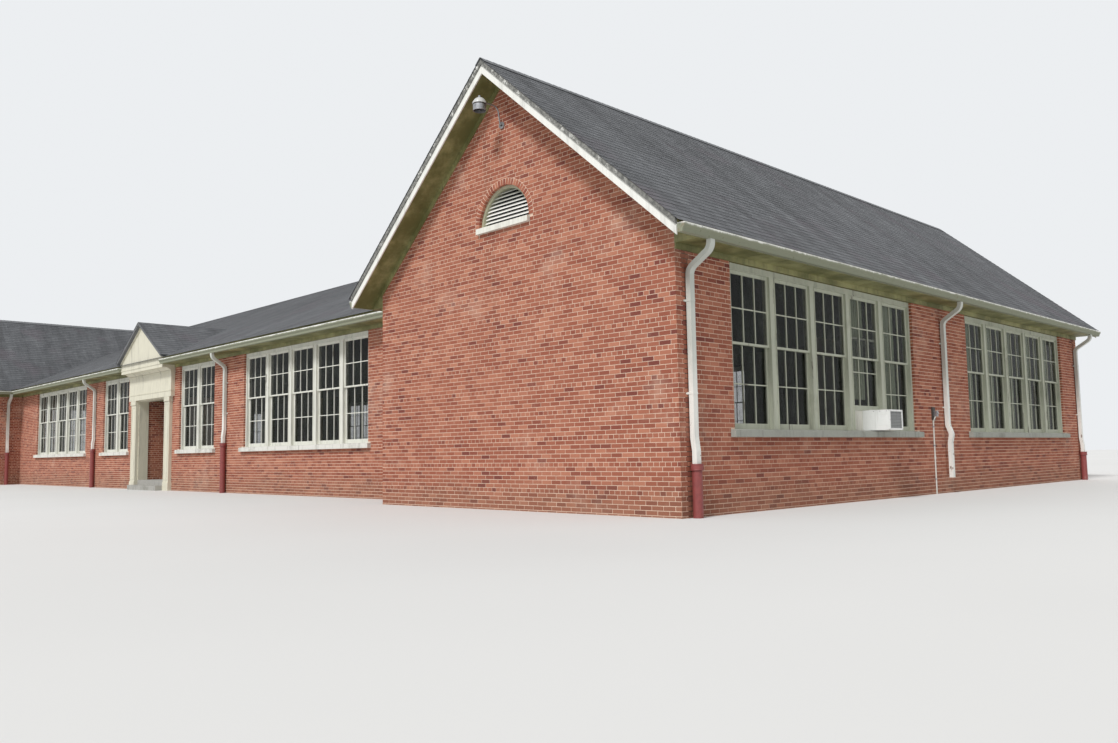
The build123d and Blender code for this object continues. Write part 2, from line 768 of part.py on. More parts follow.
def pediment_peak():
    """Top of the pediment's roof."""
    run = PEDIMENT_HALF + PEDIMENT_EAVE
    return EAVE_Z + PEDIMENT_ROOF + PEDIMENT_SLOPE * run


def pediment_board():
    """Triangular front of the pediment."""
    under = pediment_peak() - PEDIMENT_ROOF
    half = PEDIMENT_HALF
    foot = under - PEDIMENT_SLOPE * half
    outline = [(-half, SOFFIT_TOP), (half, SOFFIT_TOP), (half, foot), (0, under), (-half, foot)]
    front = -HALL_Y - GUTTER_BACK
    return xz_prism(outline, front, front + BOARD)


def pediment_roof():
    """Small gabled roof, trimmed to the hall's roof behind it."""
    peak = pediment_peak()
    run = PEDIMENT_HALF + PEDIMENT_EAVE
    outline = [(0, peak), (run, peak - PEDIMENT_SLOPE * run), (run, EAVE_Z), (0, peak - PEDIMENT_ROOF)]
    front = -HALL_Y - GUTTER_BACK - PEDIMENT_EAVE
    hall_slope = Plane(origin=(0, 0, RIDGE_Z), x_dir=(1, 0, 0), z_dir=(0, -HALL_SLOPE, 1))
    right_half = split(xz_prism(outline, front, 0), bisect_by=hall_slope, keep=Keep.TOP)
    return right_half + flip_x(right_half)


def door_screen():
    """Frame at the back of the porch, with two door openings and a transom light."""
    half = PORCH_HALF
    back = -HALL_Y + PORCH_DEPTH
    screen = block(-half, half, back - SCREEN_DEPTH, back, FLOOR_TOP, ENTRANCE_HEAD)
    clear = half - SCREEN
    top = FLOOR_TOP + DOOR_HEIGHT
    through = (back - 2 * SCREEN_DEPTH, back + SCREEN_DEPTH)
    screen -= block(-clear, clear, *through, 0, top)
    screen -= block(-clear, clear, *through, top + SCREEN, ENTRANCE_HEAD - SCREEN)
    return screen


def transom_glass():
    clear = PORCH_HALF - SCREEN
    middle = -HALL_Y + PORCH_DEPTH - SCREEN_DEPTH / 2
    top = FLOOR_TOP + DOOR_HEIGHT
    return block(-clear, clear, middle, middle + GLASS, top + SCREEN, ENTRANCE_HEAD - SCREEN)


def door():
    """Right leaf of the pair: stiles and rails, a sunk lower panel and a glazed upper light."""
    x0 = DOOR_PLAY / 2
    x1 = PORCH_HALF - SCREEN
    front = -HALL_Y + PORCH_DEPTH - SCREEN_DEPTH / 2
    z0 = FLOOR_TOP
    z1 = FLOOR_TOP + DOOR_HEIGHT - DOOR_PLAY
    leaf = block(x0, x1, front, front + DOOR, z0, z1)
    inner = (x0 + DOOR_STILE, x1 - DOOR_STILE)
    sunk = (DOOR - DOOR_PANEL) / 2
    panel = (z0 + DOOR_RAIL, z0 + DOOR_LOCK_Z)
    leaf -= block(*inner, front, front + sunk, *panel)
    leaf -= block(*inner, front + DOOR - sunk, front + DOOR, *panel)
    light = (z0 + DOOR_LOCK_Z + DOOR_RAIL, z1 - DOOR_RAIL)
    leaf -= block(*inner, front - DOOR, front + 2 * DOOR, *light)
    middle = front + (DOOR - GLASS) / 2
    return leaf, block(*inner, middle, middle + GLASS, *light)


# Gable vents, made against the plane Y = 0 with the sill's top at the origin


def vent_frame():
    """Half ring with a flat foot, set in the round-headed opening."""
    rim = extrude(Plane.XZ * Circle(VENT_RADIUS), amount=-VENT_FRAME_DEPTH)
    inner = VENT_RADIUS - VENT_FRAME
    ring = rim - extrude(Plane.XZ * Circle(inner), amount=-VENT_FRAME_DEPTH)
    ring = split(ring, bisect_by=Plane.XY, keep=Keep.TOP)
    return Pos(0, VENT_SET, 0) * ring + vent_sill()


def vent_sill():
    """Sloping sill with ears in front of the wall."""
    back = VENT_SET + VENT_FRAME_DEPTH
    nose = -VENT_SILL_NOSE
    foot = -VENT_SILL_HEIGHT
    outline = [(nose, foot), (back, foot), (back, 0), (0, 0), (nose, -SILL_FALL)]
    ear = [(nose, foot), (0, foot), (0, 0), (nose, -SILL_FALL)]
    half = VENT_RADIUS + VENT_SILL_EAR
    return yz_prism(outline, -VENT_RADIUS, VENT_RADIUS) + yz_prism(ear, -half, half)


def vent_louvres():
    """Tilted blades, each trimmed to the inside of the frame."""
    inner = VENT_RADIUS - VENT_FRAME
    bore = extrude(Plane.XZ * Circle(inner), amount=-VENT_FRAME_DEPTH - VENT_SET)
    bore = split(bore, bisect_by=Plane.XY, keep=Keep.TOP)
    pitch = (inner - LOUVRE_START) / LOUVRES
    tilt = radians(LOUVRE_TILT)
    along = (LOUVRE_WIDTH * cos(tilt), LOUVRE_WIDTH * sin(tilt))
    front = VENT_SET + (VENT_FRAME_DEPTH - along[0]) / 2
    rise = LOUVRE_THICK / cos(tilt)
    blades = []
    for row in range(LOUVRES):
        z = row * pitch + LOUVRE_START
        back = front + along[0]
        outline = [(front, z), (back, z + along[1]), (back, z + along[1] + rise), (front, z + rise)]
        blades += (yz_prism(outline, -inner, inner) & bore).solids()
    return blades


def at_gable(solid, z=VENT_SPRING_Z):
    return Pos(RIDGE_X, -GABLE_Y, z) * solid


# Fittings


def lamp_arm():
    """Wall plate and bent pipe that ends in the side of the lamp's cap."""
    face = -GABLE_Y
    top = LAMP_Z + LAMP_RISE
    elbow = face - 2 * LAMP_STUB
    points = [(face, LAMP_Z), (face - LAMP_STUB, LAMP_Z), (elbow, top)]
    points += [(face - LAMP_REACH + LAMP_CAP_RADIUS, top)]
    line = FilletPolyline(*[(RIDGE_X, y, z) for y, z in points], radius=list(LAMP_BENDS))
    section = Plane(origin=line @ 0, z_dir=line % 0) * Circle(LAMP_PIPE)
    seat = Plane(origin=(RIDGE_X, face, LAMP_Z), z_dir=(0, -1, 0))
    plate = extrude(seat * Circle(LAMP_PLATE), amount=BOARD)
    return sweep(section, path=line) + plate


def lamp_head():
    """Shade open at the bottom, with a domed cap and a light sensor on top."""
    half = LAMP_CAP_HEIGHT / 2
    sensor_top = half + LAMP_EYE_HEIGHT
    foot = -half - LAMP_SKIRT_HEIGHT
    shoulder = -half - LAMP_SHOULDER
    outer = [(0, sensor_top), (LAMP_EYE_RADIUS, sensor_top), (LAMP_EYE_RADIUS, half)]
    outer += [(LAMP_CROWN_RADIUS, half), (LAMP_CAP_RADIUS, half / 2), (LAMP_CAP_RADIUS, -half)]
    outer += [(LAMP_SKIRT_RADIUS, shoulder), (LAMP_SKIRT_RADIUS, foot)]
    inside = LAMP_SKIRT_RADIUS - LAMP_WALL
    inner = [(inside, foot), (inside, shoulder), (LAMP_CAP_RADIUS - LAMP_WALL, -half), (0, -half)]
    shade = revolve(Plane.XZ * Polygon(*(outer + inner), align=None), axis=Axis.Z)
    return Pos(RIDGE_X, -GABLE_Y - LAMP_REACH, LAMP_Z + LAMP_RISE) * shade


def lamp_bulb():
    """Bulb held under the cap, with a short neck."""
    neck_top = -LAMP_CAP_HEIGHT / 2
    bulb = Pos(0, 0, neck_top - LAMP_BULB_DROP) * Sphere(LAMP_BULB_RADIUS)
    neck = Cylinder(LAMP_BULB_RADIUS / 2, LAMP_BULB_RADIUS, align=(Align.CENTER, Align.CENTER, Align.MAX))
    piece = bulb + Pos(0, 0, neck_top) * neck
    return Pos(RIDGE_X, -GABLE_Y - LAMP_REACH, LAMP_Z + LAMP_RISE) * piece


def air_conditioner():
    """Window unit on the sill, with a recess for its grille and filler panels beside it."""
    half = AC_WIDTH / 2
    track = FRAME_SET + (FRAME_DEPTH - 2 * SASH - SASH_PLAY) / 2 + SASH + SASH_PLAY
    case = block(AC_SHIFT - half, AC_SHIFT + half, -AC_OUT, track + AC_IN, SILL_Z, SILL_Z + AC_HEIGHT)
    clear = (UNIT - MULLION) / 2
    hollow = half - AC_BORDER
    case -= block(
        AC_SHIFT - hollow,
        AC_SHIFT + hollow,
        -AC_OUT,
        -AC_OUT + AC_RECESS,
        SILL_Z + AC_BORDER,
        SILL_Z + AC_HEIGHT - AC_BORDER,
    )
    middle = track + (SASH - AC_FILLER) / 2
    filler = block(-clear, clear, middle, middle + AC_FILLER, SILL_Z, SILL_Z + AC_HEIGHT)
    return case + filler


def meter_board():
    """Weathered backing board of the meter box, on the right side wall."""
    half = METER_BOARD_WIDTH / 2
    z0 = METER_Z - METER_BOARD_HEIGHT / 2
    board = block(-half, half, -METER_BOARD, 0, z0, z0 + METER_BOARD_HEIGHT)
    return on_side(board, METER_Y)


def meter_box():
    x0 = METER_SHIFT - METER_WIDTH / 2
    back = -METER_BOARD
    z0 = METER_Z - METER_HEIGHT / 2
    box = block(x0, x0 + METER_WIDTH, back - METER_DEPTH, back, z0, z0 + METER_HEIGHT)
    box = fillet(box.edges().filter_by(Axis.Y), METER_ROUND)
    return on_side(box, METER_Y)


def conduit():
    """Pipe from the foot of the meter board to the ground."""
    top = METER_Z - METER_BOARD_HEIGHT / 2
    pipe = upright(CONDUIT_RADIUS, top)
    return on_side(Pos(-METER_SHIFT, -CONDUIT_RADIUS, 0) * pipe, METER_Y)


def curtain_rod(units):
    """Rod behind a window group, on a bracket at each jamb and in the middle."""
    frame_back = FRAME_SET + FRAME_DEPTH
    last = units * UNIT / 2 - MULLION / 4
    line = Plane(origin=(-last - ROD_END, frame_back + ROD_BACK, ROD_Z), z_dir=(1, 0, 0))
    rod = extrude(line * Circle(ROD_RADIUS), amount=2 * (last + ROD_END))
    for x in (-last, 0, last):
        sides = (x - ROD_BRACKET / 2, x + ROD_BRACKET / 2)
        heights = (ROD_Z - ROD_BRACKET_HEIGHT / 2, ROD_Z + ROD_BRACKET_HEIGHT / 2)
        rod += block(*sides, frame_back, frame_back + ROD_BACK, *heights)
    return rod


def curtain(foot):
    """Plain body of a curtain that hangs below the rod, at the front side of its window unit."""
    x0 = (MULLION - UNIT) / 2
    middle = FRAME_SET + FRAME_DEPTH + ROD_BACK
    half = CURTAIN_DEPTH / 2
    top = ROD_Z - ROD_RADIUS - CURTAIN_PLAY
    return block(x0, x0 + CURTAIN_WIDTH, middle - half, middle + half, foot, top)


def curtains():
    """Curtains behind the last units of the front group and every unit of the rear group."""
    shifts = unit_middles(GROUP_UNITS)
    panels = [on_side(curtain(SHORT_CURTAIN_FOOT), shifts[AC_UNIT] - SIDE_GROUP_Y)]
    panels += [on_side(curtain(CURTAIN_FOOT), shift - SIDE_GROUP_Y) for shift in shifts[AC_UNIT + 1 :]]
    panels += [on_side(curtain(CURTAIN_FOOT), shift + SIDE_GROUP_Y) for shift in shifts]
    return panels


def ac_on_wall():
    unit_y = -SIDE_GROUP_Y + unit_middles(GROUP_UNITS)[AC_UNIT]
    return on_side(air_conditioner(), unit_y)


# The pieces are set out on the walls, then written one file for each node.

upper_leaves, upper_panes, lower_leaves, lower_panes = window_sets()
door_leaf, door_pane = door()

PIECES = {
    "hall_floor": [hall_floor()],
    "wing_floors": left_and_right(wing_floor()),
    "right_front_gable_wall": [gable_wall()],
    "right_rear_gable_wall": [flip_y(gable_wall())],
    "left_front_gable_wall": [flip_x(gable_wall())],
    "left_rear_gable_wall": [flip_x(flip_y(gable_wall()))],
    "right_side_wall": [side_wall()],
    "left_side_wall": [flip_x(side_wall())],
    "return_walls": at_four_corners(return_wall()),
    "hall_front_wall_right": [hall_wall(PORCH_HALF, INNER_X)],
    "hall_front_wall_left": [flip_x(hall_wall(PORCH_HALF, INNER_X))],
    "wall_over_entrance": [hall_wall(-PORCH_HALF, PORCH_HALF, ENTRANCE_HEAD)],
    "hall_rear_wall": [flip_y(hall_wall(-INNER_X, INNER_X))],
    "wing_outer_roofs": left_and_right(outer_wing_roof()),
    "wing_inner_roofs_front": left_and_right(inner_wing_roof()),
    "wing_inner_roofs_rear": left_and_right(flip_y(inner_wing_roof())),
    "hall_roof_front": [hall_roof()],
    "hall_roof_rear": [flip_y(hall_roof())],
    "ridge_caps": ridge_caps(),
    "eave_fascias": eave_boards("fascia"),
    "eave_soffits": eave_boards("soffit") + [copy for board in rake_soffits() for copy in at_four_corners(board)],
    "eave_friezes": eave_boards("frieze"),
    "cornice_returns": cornice_returns(),
    "rake_moulds": at_four_corners(rake_mould()),
    "rake_fascias": at_four_corners(rake_fascia()),
    "rake_friezes": at_four_corners(rake_frieze()),
    "gutters": gutters(),
    "downspouts": downspouts(),
    "downspout_boots": boots(),
    "window_sills": around_building(window_sill),
    "window_frames": around_building(window_frame),
    "upper_sashes": upper_leaves,
    "lower_sashes": lower_leaves,
    "window_glass": upper_panes + lower_panes,
    "entrance_step": [entrance_step()],
    "entrance_lining": [entrance_lining()],
    "pilasters": left_and_right(pilaster()),
    "entablature": [entablature()],
    "pediment_board": [pediment_board()],
    "pediment_roof": [pediment_roof()],
    "porch_walls": left_and_right(porch_wall()),
    "porch_ceiling": [porch_ceiling()],
    "door_screen": [door_screen()],
    "doors": left_and_right(door_leaf),
    "door_glass": left_and_right(door_pane) + [transom_glass()],
    "vent_frames": at_four_corners(at_gable(vent_frame())),
    "vent_louvres": [copy for blade in vent_louvres() for copy in at_four_corners(at_gable(blade))],
    "lamp_arm": [lamp_arm()],
    "lamp_head": [lamp_head()],
    "lamp_bulb": [lamp_bulb()],
    "air_conditioner": [ac_on_wall()],
    "meter_board": [meter_board()],
    "meter_box": [meter_box()],
    "conduit": [conduit()],
    "curtain_rods": [on_side(curtain_rod(units), y) for y, units in SIDE_GROUPS],
    "curtains": curtains(),
}

os.makedirs("parts", exist_ok=True)
for node, solids in PIECES.items():
    export_step(Compound(children=solids), f"parts/{node}.step")
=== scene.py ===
# School building of brick at half size: its bricks, shingles, boards, windows and fittings, and the stage.

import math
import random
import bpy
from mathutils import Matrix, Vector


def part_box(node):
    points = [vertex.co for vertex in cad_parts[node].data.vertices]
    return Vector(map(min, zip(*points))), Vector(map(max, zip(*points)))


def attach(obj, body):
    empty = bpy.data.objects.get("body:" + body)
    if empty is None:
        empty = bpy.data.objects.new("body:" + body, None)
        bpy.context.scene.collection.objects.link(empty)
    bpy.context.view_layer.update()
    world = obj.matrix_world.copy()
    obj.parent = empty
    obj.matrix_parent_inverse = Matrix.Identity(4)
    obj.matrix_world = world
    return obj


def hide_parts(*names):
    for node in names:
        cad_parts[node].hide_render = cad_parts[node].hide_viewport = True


bl_info = {
    "name": "School building",
    "version": (1, 0, 0),
    "blender": (4, 5, 0),
    "location": "View3D > Sidebar > School",
    "description": "Bricks, shingles, weathered boards, window bars and fittings of a low brick school",
    "category": "Object",
}

from functools import cache, partialmethod

import bmesh
import bpy
import numpy as np
from mathutils import Matrix, Vector

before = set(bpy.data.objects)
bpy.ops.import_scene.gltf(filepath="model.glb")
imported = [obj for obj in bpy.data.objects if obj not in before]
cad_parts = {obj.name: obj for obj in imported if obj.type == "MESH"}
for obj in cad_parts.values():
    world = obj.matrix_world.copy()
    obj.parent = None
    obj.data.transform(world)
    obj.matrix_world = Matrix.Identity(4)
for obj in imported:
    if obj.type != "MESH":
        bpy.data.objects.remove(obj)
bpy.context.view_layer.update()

# Sizes that the frame doesn't give, in metres
WALL = 0.15
VENT_SILL = 0.056
PEDIMENT_ROOF = 0.045

# Places of the building, read from the frame, in metres
RIGHT_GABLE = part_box("right_front_gable_wall")
INNER_X = RIGHT_GABLE[0].x
SIDE_X = RIGHT_GABLE[1].x
RIDGE_X = (INNER_X + SIDE_X) / 2
GABLE_Y = -RIGHT_GABLE[0].y
UNDER_RIDGE = RIGHT_GABLE[1].z
HALL_Y = -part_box("hall_front_wall_right")[0].y
EAVE_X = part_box("wing_outer_roofs")[1].x
RAKE_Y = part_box("rake_moulds")[1].y
RIDGE_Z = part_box("wing_outer_roofs")[1].z
EAVE_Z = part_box("eave_fascias")[1].z
HALL_EAVE_Y = -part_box("hall_roof_front")[0].y
WING_SLOPE = (RIDGE_Z - EAVE_Z) / (EAVE_X - RIDGE_X)
HALL_SLOPE = (RIDGE_Z - EAVE_Z) / HALL_EAVE_Y
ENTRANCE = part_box("entrance_lining")
PORCH_HALF = ENTRANCE[1].x
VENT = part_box("vent_frames")
VENT_RADIUS = VENT[1].z - VENT[0].z - VENT_SILL
VENT_SPRING_Z = VENT[0].z + VENT_SILL
SILL_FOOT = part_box("window_sills")[0].z
FRIEZE_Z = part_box("eave_friezes")[0].z
FLOOR_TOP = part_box("hall_floor")[1].z
PORCH_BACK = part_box("door_screen")[0].y
RAKE_TIP = -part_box("gutters")[0].y

# Directions, and the sides and ends of the building with the names that their pieces carry
RIGHT = (1.0, 0.0, 0.0)
REAR = (0.0, 1.0, 0.0)
FRONT = (0.0, -1.0, 0.0)
UP = (0.0, 0.0, 1.0)
SIDES = ((1, "right"), (-1, "left"))
ENDS = ((-1, "front"), (1, "rear"))

# The photograph's camera, in the building's own frame
CAMERA_PLACE = (14.927, -9.3095, 0.4525)
CAMERA_LENS = 29.6
CAMERA_SENSOR = 36.0
CAMERA_YAW = 0.7952
CAMERA_PITCH = 0.0896
CAMERA_ROLL = -0.0167


def rgba(colour):
    """Colour of a shader socket."""
    return (*colour, 1.0)


def dimmed(colour, share):
    return tuple(share * part for part in colour)


def blend(low, high, share):
    return tuple((1 - share) * a + share * b for a, b in zip(low, high))


# Values that a user may change


def strength(name, default, description, **more):
    return bpy.props.FloatProperty(name=name, description=description, default=default, min=0.0, **more)


def length(name, default, description):
    return strength(name, default, description, unit="LENGTH", precision=4)


def count(name, default, description):
    return bpy.props.IntProperty(name=name, description=description, default=default, min=0)


def colour(name, default, description):
    return bpy.props.FloatVectorProperty(
        name=name, description=description, default=default, size=3, min=0.0, max=1.0, subtype="COLOR"
    )


class BrickSettings(bpy.types.PropertyGroup):
    """Sizes and colours of the brickwork."""

    stretcher: length("Stretcher", 0.1067, "Length of a brick laid along the wall, with its joint")
    course: length("Course", 0.03387, "Height of a course, with its joint")
    joint: length("Joint", 0.0052, "Width of a mortar joint")
    proud: length("Proud", 0.0016, "How far the bricks stand out from the mortar")
    depth: length("Depth", 0.008, "Thickness of the bricks' outer skin")
    wobble: length("Wobble", 0.00035, "How far a brick may lie out of line")
    header_every: count("Header course", 6, "Every so many courses one is laid as headers")
    ring: length("Ring", 0.052, "Height of the brick ring around a gable vent")
    seed: count("Seed", 7, "Start of the random tones and offsets")
    dark: colour("Dark", (0.195, 0.058, 0.044), "Darkest bricks")
    red: colour("Red", (0.330, 0.108, 0.066), "Most of the bricks")
    salmon: colour("Salmon", (0.480, 0.200, 0.126), "Lightest bricks")
    mortar: colour("Mortar", (0.800, 0.610, 0.480), "Mortar joints")


class RoofSettings(bpy.types.PropertyGroup):
    """Sizes and colours of the shingles."""

    exposure: length("Exposure", 0.071, "Height of a course of shingles that shows")
    tab: length("Tab", 0.1524, "Width of a shingle tab, with its slot")
    slot: length("Slot", 0.0042, "Gap between two tabs")
    butt: length("Butt", 0.0026, "Thickness of a shingle")
    lap: length("Lap", 0.012, "How far a tab runs under the next course")
    overhang: length("Overhang", 0.042, "How far the shingles reach past the eave board")
    wobble: length("Wobble", 0.0004, "How far a tab may lie out of line")
    seed: count("Seed", 21, "Start of the random tones and offsets")
    dark: colour("Dark", (0.050, 0.052, 0.056), "Darkest tabs")
    grey: colour("Grey", (0.099, 0.103, 0.110), "Most of the tabs")
    worn: colour("Worn", (0.200, 0.208, 0.215), "Bleached streaks")


class TrimSettings(bpy.types.PropertyGroup):
    """Colours of the painted boards and of what weather has done to them."""

    white: colour("White paint", (0.840, 0.840, 0.790), "Rake boards and the gutters' lips")
    # Cream paint kept dark: the paint's own colour, darkened partly as painted shade under the eaves.
    cream: colour("Cream paint", (0.350, 0.335, 0.150), "Soffits, friezes and fascias")
    entrance: colour("Entrance paint", (0.700, 0.670, 0.540), "Pilasters and pediment")
    # One sash paint in two copies: the wings' is darkened as painted shade of the eaves, the hall's
    # lightened as painted sunlight.
    sash: colour("Sash paint", (0.490, 0.510, 0.410), "Window frames and sashes in the wings")
    sunlit_sash: colour("Clean sash paint", (0.730, 0.730, 0.660), "Window frames and sashes in the hall")
    bare: colour("Bare wood", (0.215, 0.195, 0.165), "Wood where the paint has gone")
    mildew: colour("Mildew", (0.075, 0.080, 0.016), "Green stain in the shade of the eaves")
    soot: colour("Dirt", (0.060, 0.055, 0.042), "Dirt in streaks and corners")


class WindowSettings(bpy.types.PropertyGroup):
    """Sizes of the sash bars and the beads."""

    columns: count("Columns", 3, "Panes across a sash")
    rows: count("Rows", 2, "Panes up a sash")
    bar: length("Bar", 0.0095, "Width of a sash bar")
    bar_depth: length("Bar depth", 0.013, "Depth of a sash bar")
    bead: length("Bead", 0.008, "Width of the beads around the sashes")
    bead_out: length("Bead out", 0.005, "How far the beads stand out from the frame")


class CurtainSettings(bpy.types.PropertyGroup):
    """Folds and colours of the curtains."""

    folds: count("Folds", 11, "Folds across one curtain")
    depth: length("Fold depth", 0.0125, "How far a fold stands out at the foot")
    cloth: length("Cloth", 0.0008, "Thickness of the cloth")
    seed: count("Seed", 5, "Start of the folds' random shapes")
    # Fold colours: the deep one is painted shade in the hollows, the other painted light on the crests.
    deep: colour("Deep", (0.190, 0.250, 0.135), "Colour inside the folds")
    fold_crest: colour("Faded", (0.600, 0.660, 0.500), "Colour that the sun has bleached")


class FittingSettings(bpy.types.PropertyGroup):
    """Spacing of the small fittings."""

    fin: length("Grille fin", 0.0048, "Distance between two fins of the window unit's grille")
    pleat: length("Pleat", 0.0083, "Distance between two pleats of its side panels")
    spike: length("Gutter spike", 0.38, "Distance between two spikes that hold a gutter")
    seam: length("Gutter seam", 1.52, "Length of one piece of gutter")
    strap: length("Strap", 0.016, "Width of the straps that hold pipes to the walls")


class StageSettings(bpy.types.PropertyGroup):
    """Floor, background and lights."""

    floor: colour("Floor", (0.70, 0.70, 0.69), "Pale studio floor")
    sky: colour("Background", (0.84, 0.86, 0.88), "Background that the camera sees")
    world: strength("World light", 0.52, "Even light from all round")
    sun: strength("Key light", 2.45, "Soft light from the front")
    fill: strength("Fill light", 0.50, "Weak light from behind")


SETTINGS = {
    "bricks": BrickSettings,
    "roof": RoofSettings,
    "trim": TrimSettings,
    "windows": WindowSettings,
    "curtains": CurtainSettings,
    "fittings": FittingSettings,
    "stage": StageSettings,
}


def settings(name):
    return getattr(bpy.context.scene, "school_" + name)


# Node trees


class Socket:
    """One output of a node, so that its maths can be written as an expression."""

    def __init__(self, nodes, socket):
        self.nodes = nodes
        self.socket = socket

    def maths(self, operation, *values):
        return self.nodes.node("ShaderNodeMath", {"operation": operation}, dict(enumerate((self, *values))))

    def __rsub__(self, value):
        return self.nodes.node("ShaderNodeMath", {"operation": "SUBTRACT"}, {0: value, 1: self})

    def also(self, output):
        """Another output of the same node."""
        return Socket(self.nodes, named_socket(self.socket.node.outputs, output))

    __add__ = __radd__ = partialmethod(maths, "ADD")
    __sub__ = partialmethod(maths, "SUBTRACT")
    __mul__ = __rmul__ = partialmethod(maths, "MULTIPLY")
    __truediv__ = partialmethod(maths, "DIVIDE")
    __abs__ = partialmethod(maths, "ABSOLUTE")


def named_socket(sockets, key):
    if isinstance(key, int):
        return sockets[key]
    return next(socket for socket in sockets if socket.enabled and socket.name == key)


class Nodes:
    """The nodes of one tree, every one of them made by the same method."""

    def __init__(self, tree):
        self.tree = tree

    def node(self, kind, choices=None, inputs=None, output=0):
        made = self.tree.nodes.new(kind)
        for name, value in (choices or {}).items():
            if name == "stops":
                self.set_stops(made.color_ramp, value)
            else:
                setattr(made, name, value)
        for key, value in (inputs or {}).items():
            target = named_socket(made.inputs, key)
            if isinstance(value, Socket):
                self.tree.links.new(value.socket, target)
            else:
                target.default_value = value
        return Socket(self, named_socket(made.outputs, output))

    def end(self, kind, key, last):
        """Links the last socket to the tree's output node."""
        self.tree.links.new(last.socket, self.tree.nodes.new(kind).inputs[key])

    def set_stops(self, ramp, stops):
        ends = (ramp.elements[0], ramp.elements[-1])
        for element, (place, value) in zip(ends, (stops[0], stops[-1])):
            element.position = place
            element.color = rgba(value)
        for place, value in stops[1:-1]:
            ramp.elements.new(place).color = rgba(value)


class Finish(Nodes):
    """Nodes of one material, with the patterns that the building's finishes share."""

    def __init__(self, name):
        self.material = bpy.data.materials.new(name)
        self.material.use_nodes = True
        super().__init__(self.material.node_tree)
        self.tree.nodes.clear()
        self.place = self.node("ShaderNodeTexCoord", output="Object")
        self.x = self.node("ShaderNodeSeparateXYZ", inputs={0: self.place}, output="X")
        self.y = self.x.also("Y")
        self.z = self.x.also("Z")
        self.base = None

    def attribute(self, name):
        return self.node("ShaderNodeAttribute", {"attribute_name": name}, output="Fac")

    def normal(self, axis):
        """One part of the direction that the surface faces."""
        facing = self.node("ShaderNodeNewGeometry", output="Normal")
        return self.node("ShaderNodeSeparateXYZ", inputs={0: facing}, output=axis)

    def noise(self, scale, stretch=(1.0, 1.0, 1.0), detail=3.0, roughness=0.55, distortion=0.0):
        """Cloudy pattern between 0 and 1; scale counts its lumps in a metre."""
        sizes = tuple(scale * part for part in stretch)
        place = self.node("ShaderNodeMapping", inputs={"Vector": self.place, "Scale": sizes})
        inputs = {"Vector": place, "Scale": 1.0, "Detail": detail, "Roughness": roughness}
        inputs["Distortion"] = distortion
        return self.node("ShaderNodeTexNoise", inputs=inputs)

    def patches(self, scale, low, high, **choices):
        """The cloudy pattern as patches with soft edges."""
        return self.ease(self.noise(scale, **choices), low, high)

    def random_of(self, value):
        """A random number for each whole value."""
        inputs = {"W": value}
        return self.node("ShaderNodeTexWhiteNoise", {"noise_dimensions": "1D"}, inputs, output="Value")

    def ease(self, value, low, high):
        """0 below low and 1 above high, smooth between; low may be the larger one."""
        inputs = {"Value": value, "From Min": low, "From Max": high}
        return self.node("ShaderNodeMapRange", {"interpolation_type": "SMOOTHSTEP"}, inputs)

    def mixed(self, share, low, high):
        """The low colour where share is 0 and the high one where it is 1."""
        ends = [end if isinstance(end, Socket) else rgba(end) for end in (low, high)]
        inputs = {"Factor": share, "A": ends[0], "B": ends[1]}
        return self.node("ShaderNodeMix", {"data_type": "RGBA"}, inputs, output="Result")

    def ramp(self, value, stops):
        return self.node("ShaderNodeValToRGB", {"stops": stops}, {0: value})

    def bump(self, height, distance, normal=None):
        inputs = {"Height": height, "Distance": distance, "Strength": 1.0}
        if normal is not None:
            inputs["Normal"] = normal
        return self.node("ShaderNodeBump", inputs=inputs)

    def coat(self, share, colour):
        """Covers the base with a colour where share is 1."""
        self.base = self.mixed(share, self.base, colour)

    def finished(self, roughness, normal=None, **fixed):
        """The material, with its changing values linked and its fixed ones set on the shader."""
        inputs = {"Base Color": self.base, "Roughness": roughness}
        if normal is not None:
            inputs["Normal"] = normal
        inputs.update({name.replace("_", " "): value for name, value in fixed.items()})
        shader = self.node("ShaderNodeBsdfPrincipled", inputs=inputs)
        self.end("ShaderNodeOutputMaterial", "Surface", shader)
        return self.material


# Finishes


def drawn_down(share):
    """Stretch of a pattern drawn out along Z: the smaller the share, the longer its streaks."""
    return (1.0, 1.0, share)


def brick_finish():
    """Fired brick: a tone for every brick, patches over the wall, bloom, and dark streaks that grow towards
    the eaves.
    """
    s = settings("bricks")
    f = Finish("fired brick")
    patches = f.noise(0.8, detail=2.0)
    tone = f.attribute("tone") + (patches - 0.5) * 0.22
    stops = [
        (0.0, s.dark),
        (0.07, blend(s.dark, s.red, 0.6)),
        (0.22, s.red),
        (0.70, blend(s.red, s.salmon, 0.4)),
        (1.0, s.salmon),
    ]
    f.base = f.ramp(tone, stops)
    grain = f.noise(210.0, detail=4.0)
    f.coat(f.ease(grain, 0.42, 0.72) * 0.22, s.dark)
    bloom = f.patches(1.7, 0.54, 0.74, detail=6.0, roughness=0.68)
    f.coat(bloom * 0.24, s.mortar)
    streaks = f.patches(5.0, 0.56, 0.76, stretch=drawn_down(0.09), detail=4.0)
    f.coat(streaks * f.ease(f.z, 0.9, 2.2) * 0.28, (0.090, 0.045, 0.034))
    foot = f.ease(f.z + (f.noise(3.0) - 0.5) * 0.35, 0.34, 0.04)
    f.coat(foot * 0.35, (0.20, 0.13, 0.085))
    height = f.noise(330.0, detail=5.0, roughness=0.7)
    normal = f.bump(height, 0.0016)
    return f.finished(0.86 + grain * 0.12, normal, Specular_IOR_Level=0.25)


def mortar_base(f):
    """Mortar as the base of a finish; gives back its grit."""
    s = settings("bricks")
    grit = f.noise(240.0, detail=4.0)
    patches = f.noise(1.3, detail=4.0)
    f.base = f.mixed(f.ease(grit, 0.35, 0.8) * 0.3, s.mortar, (0.50, 0.36, 0.28))
    f.coat(f.ease(patches, 0.45, 0.75) * 0.4, (0.58, 0.42, 0.33))
    return grit


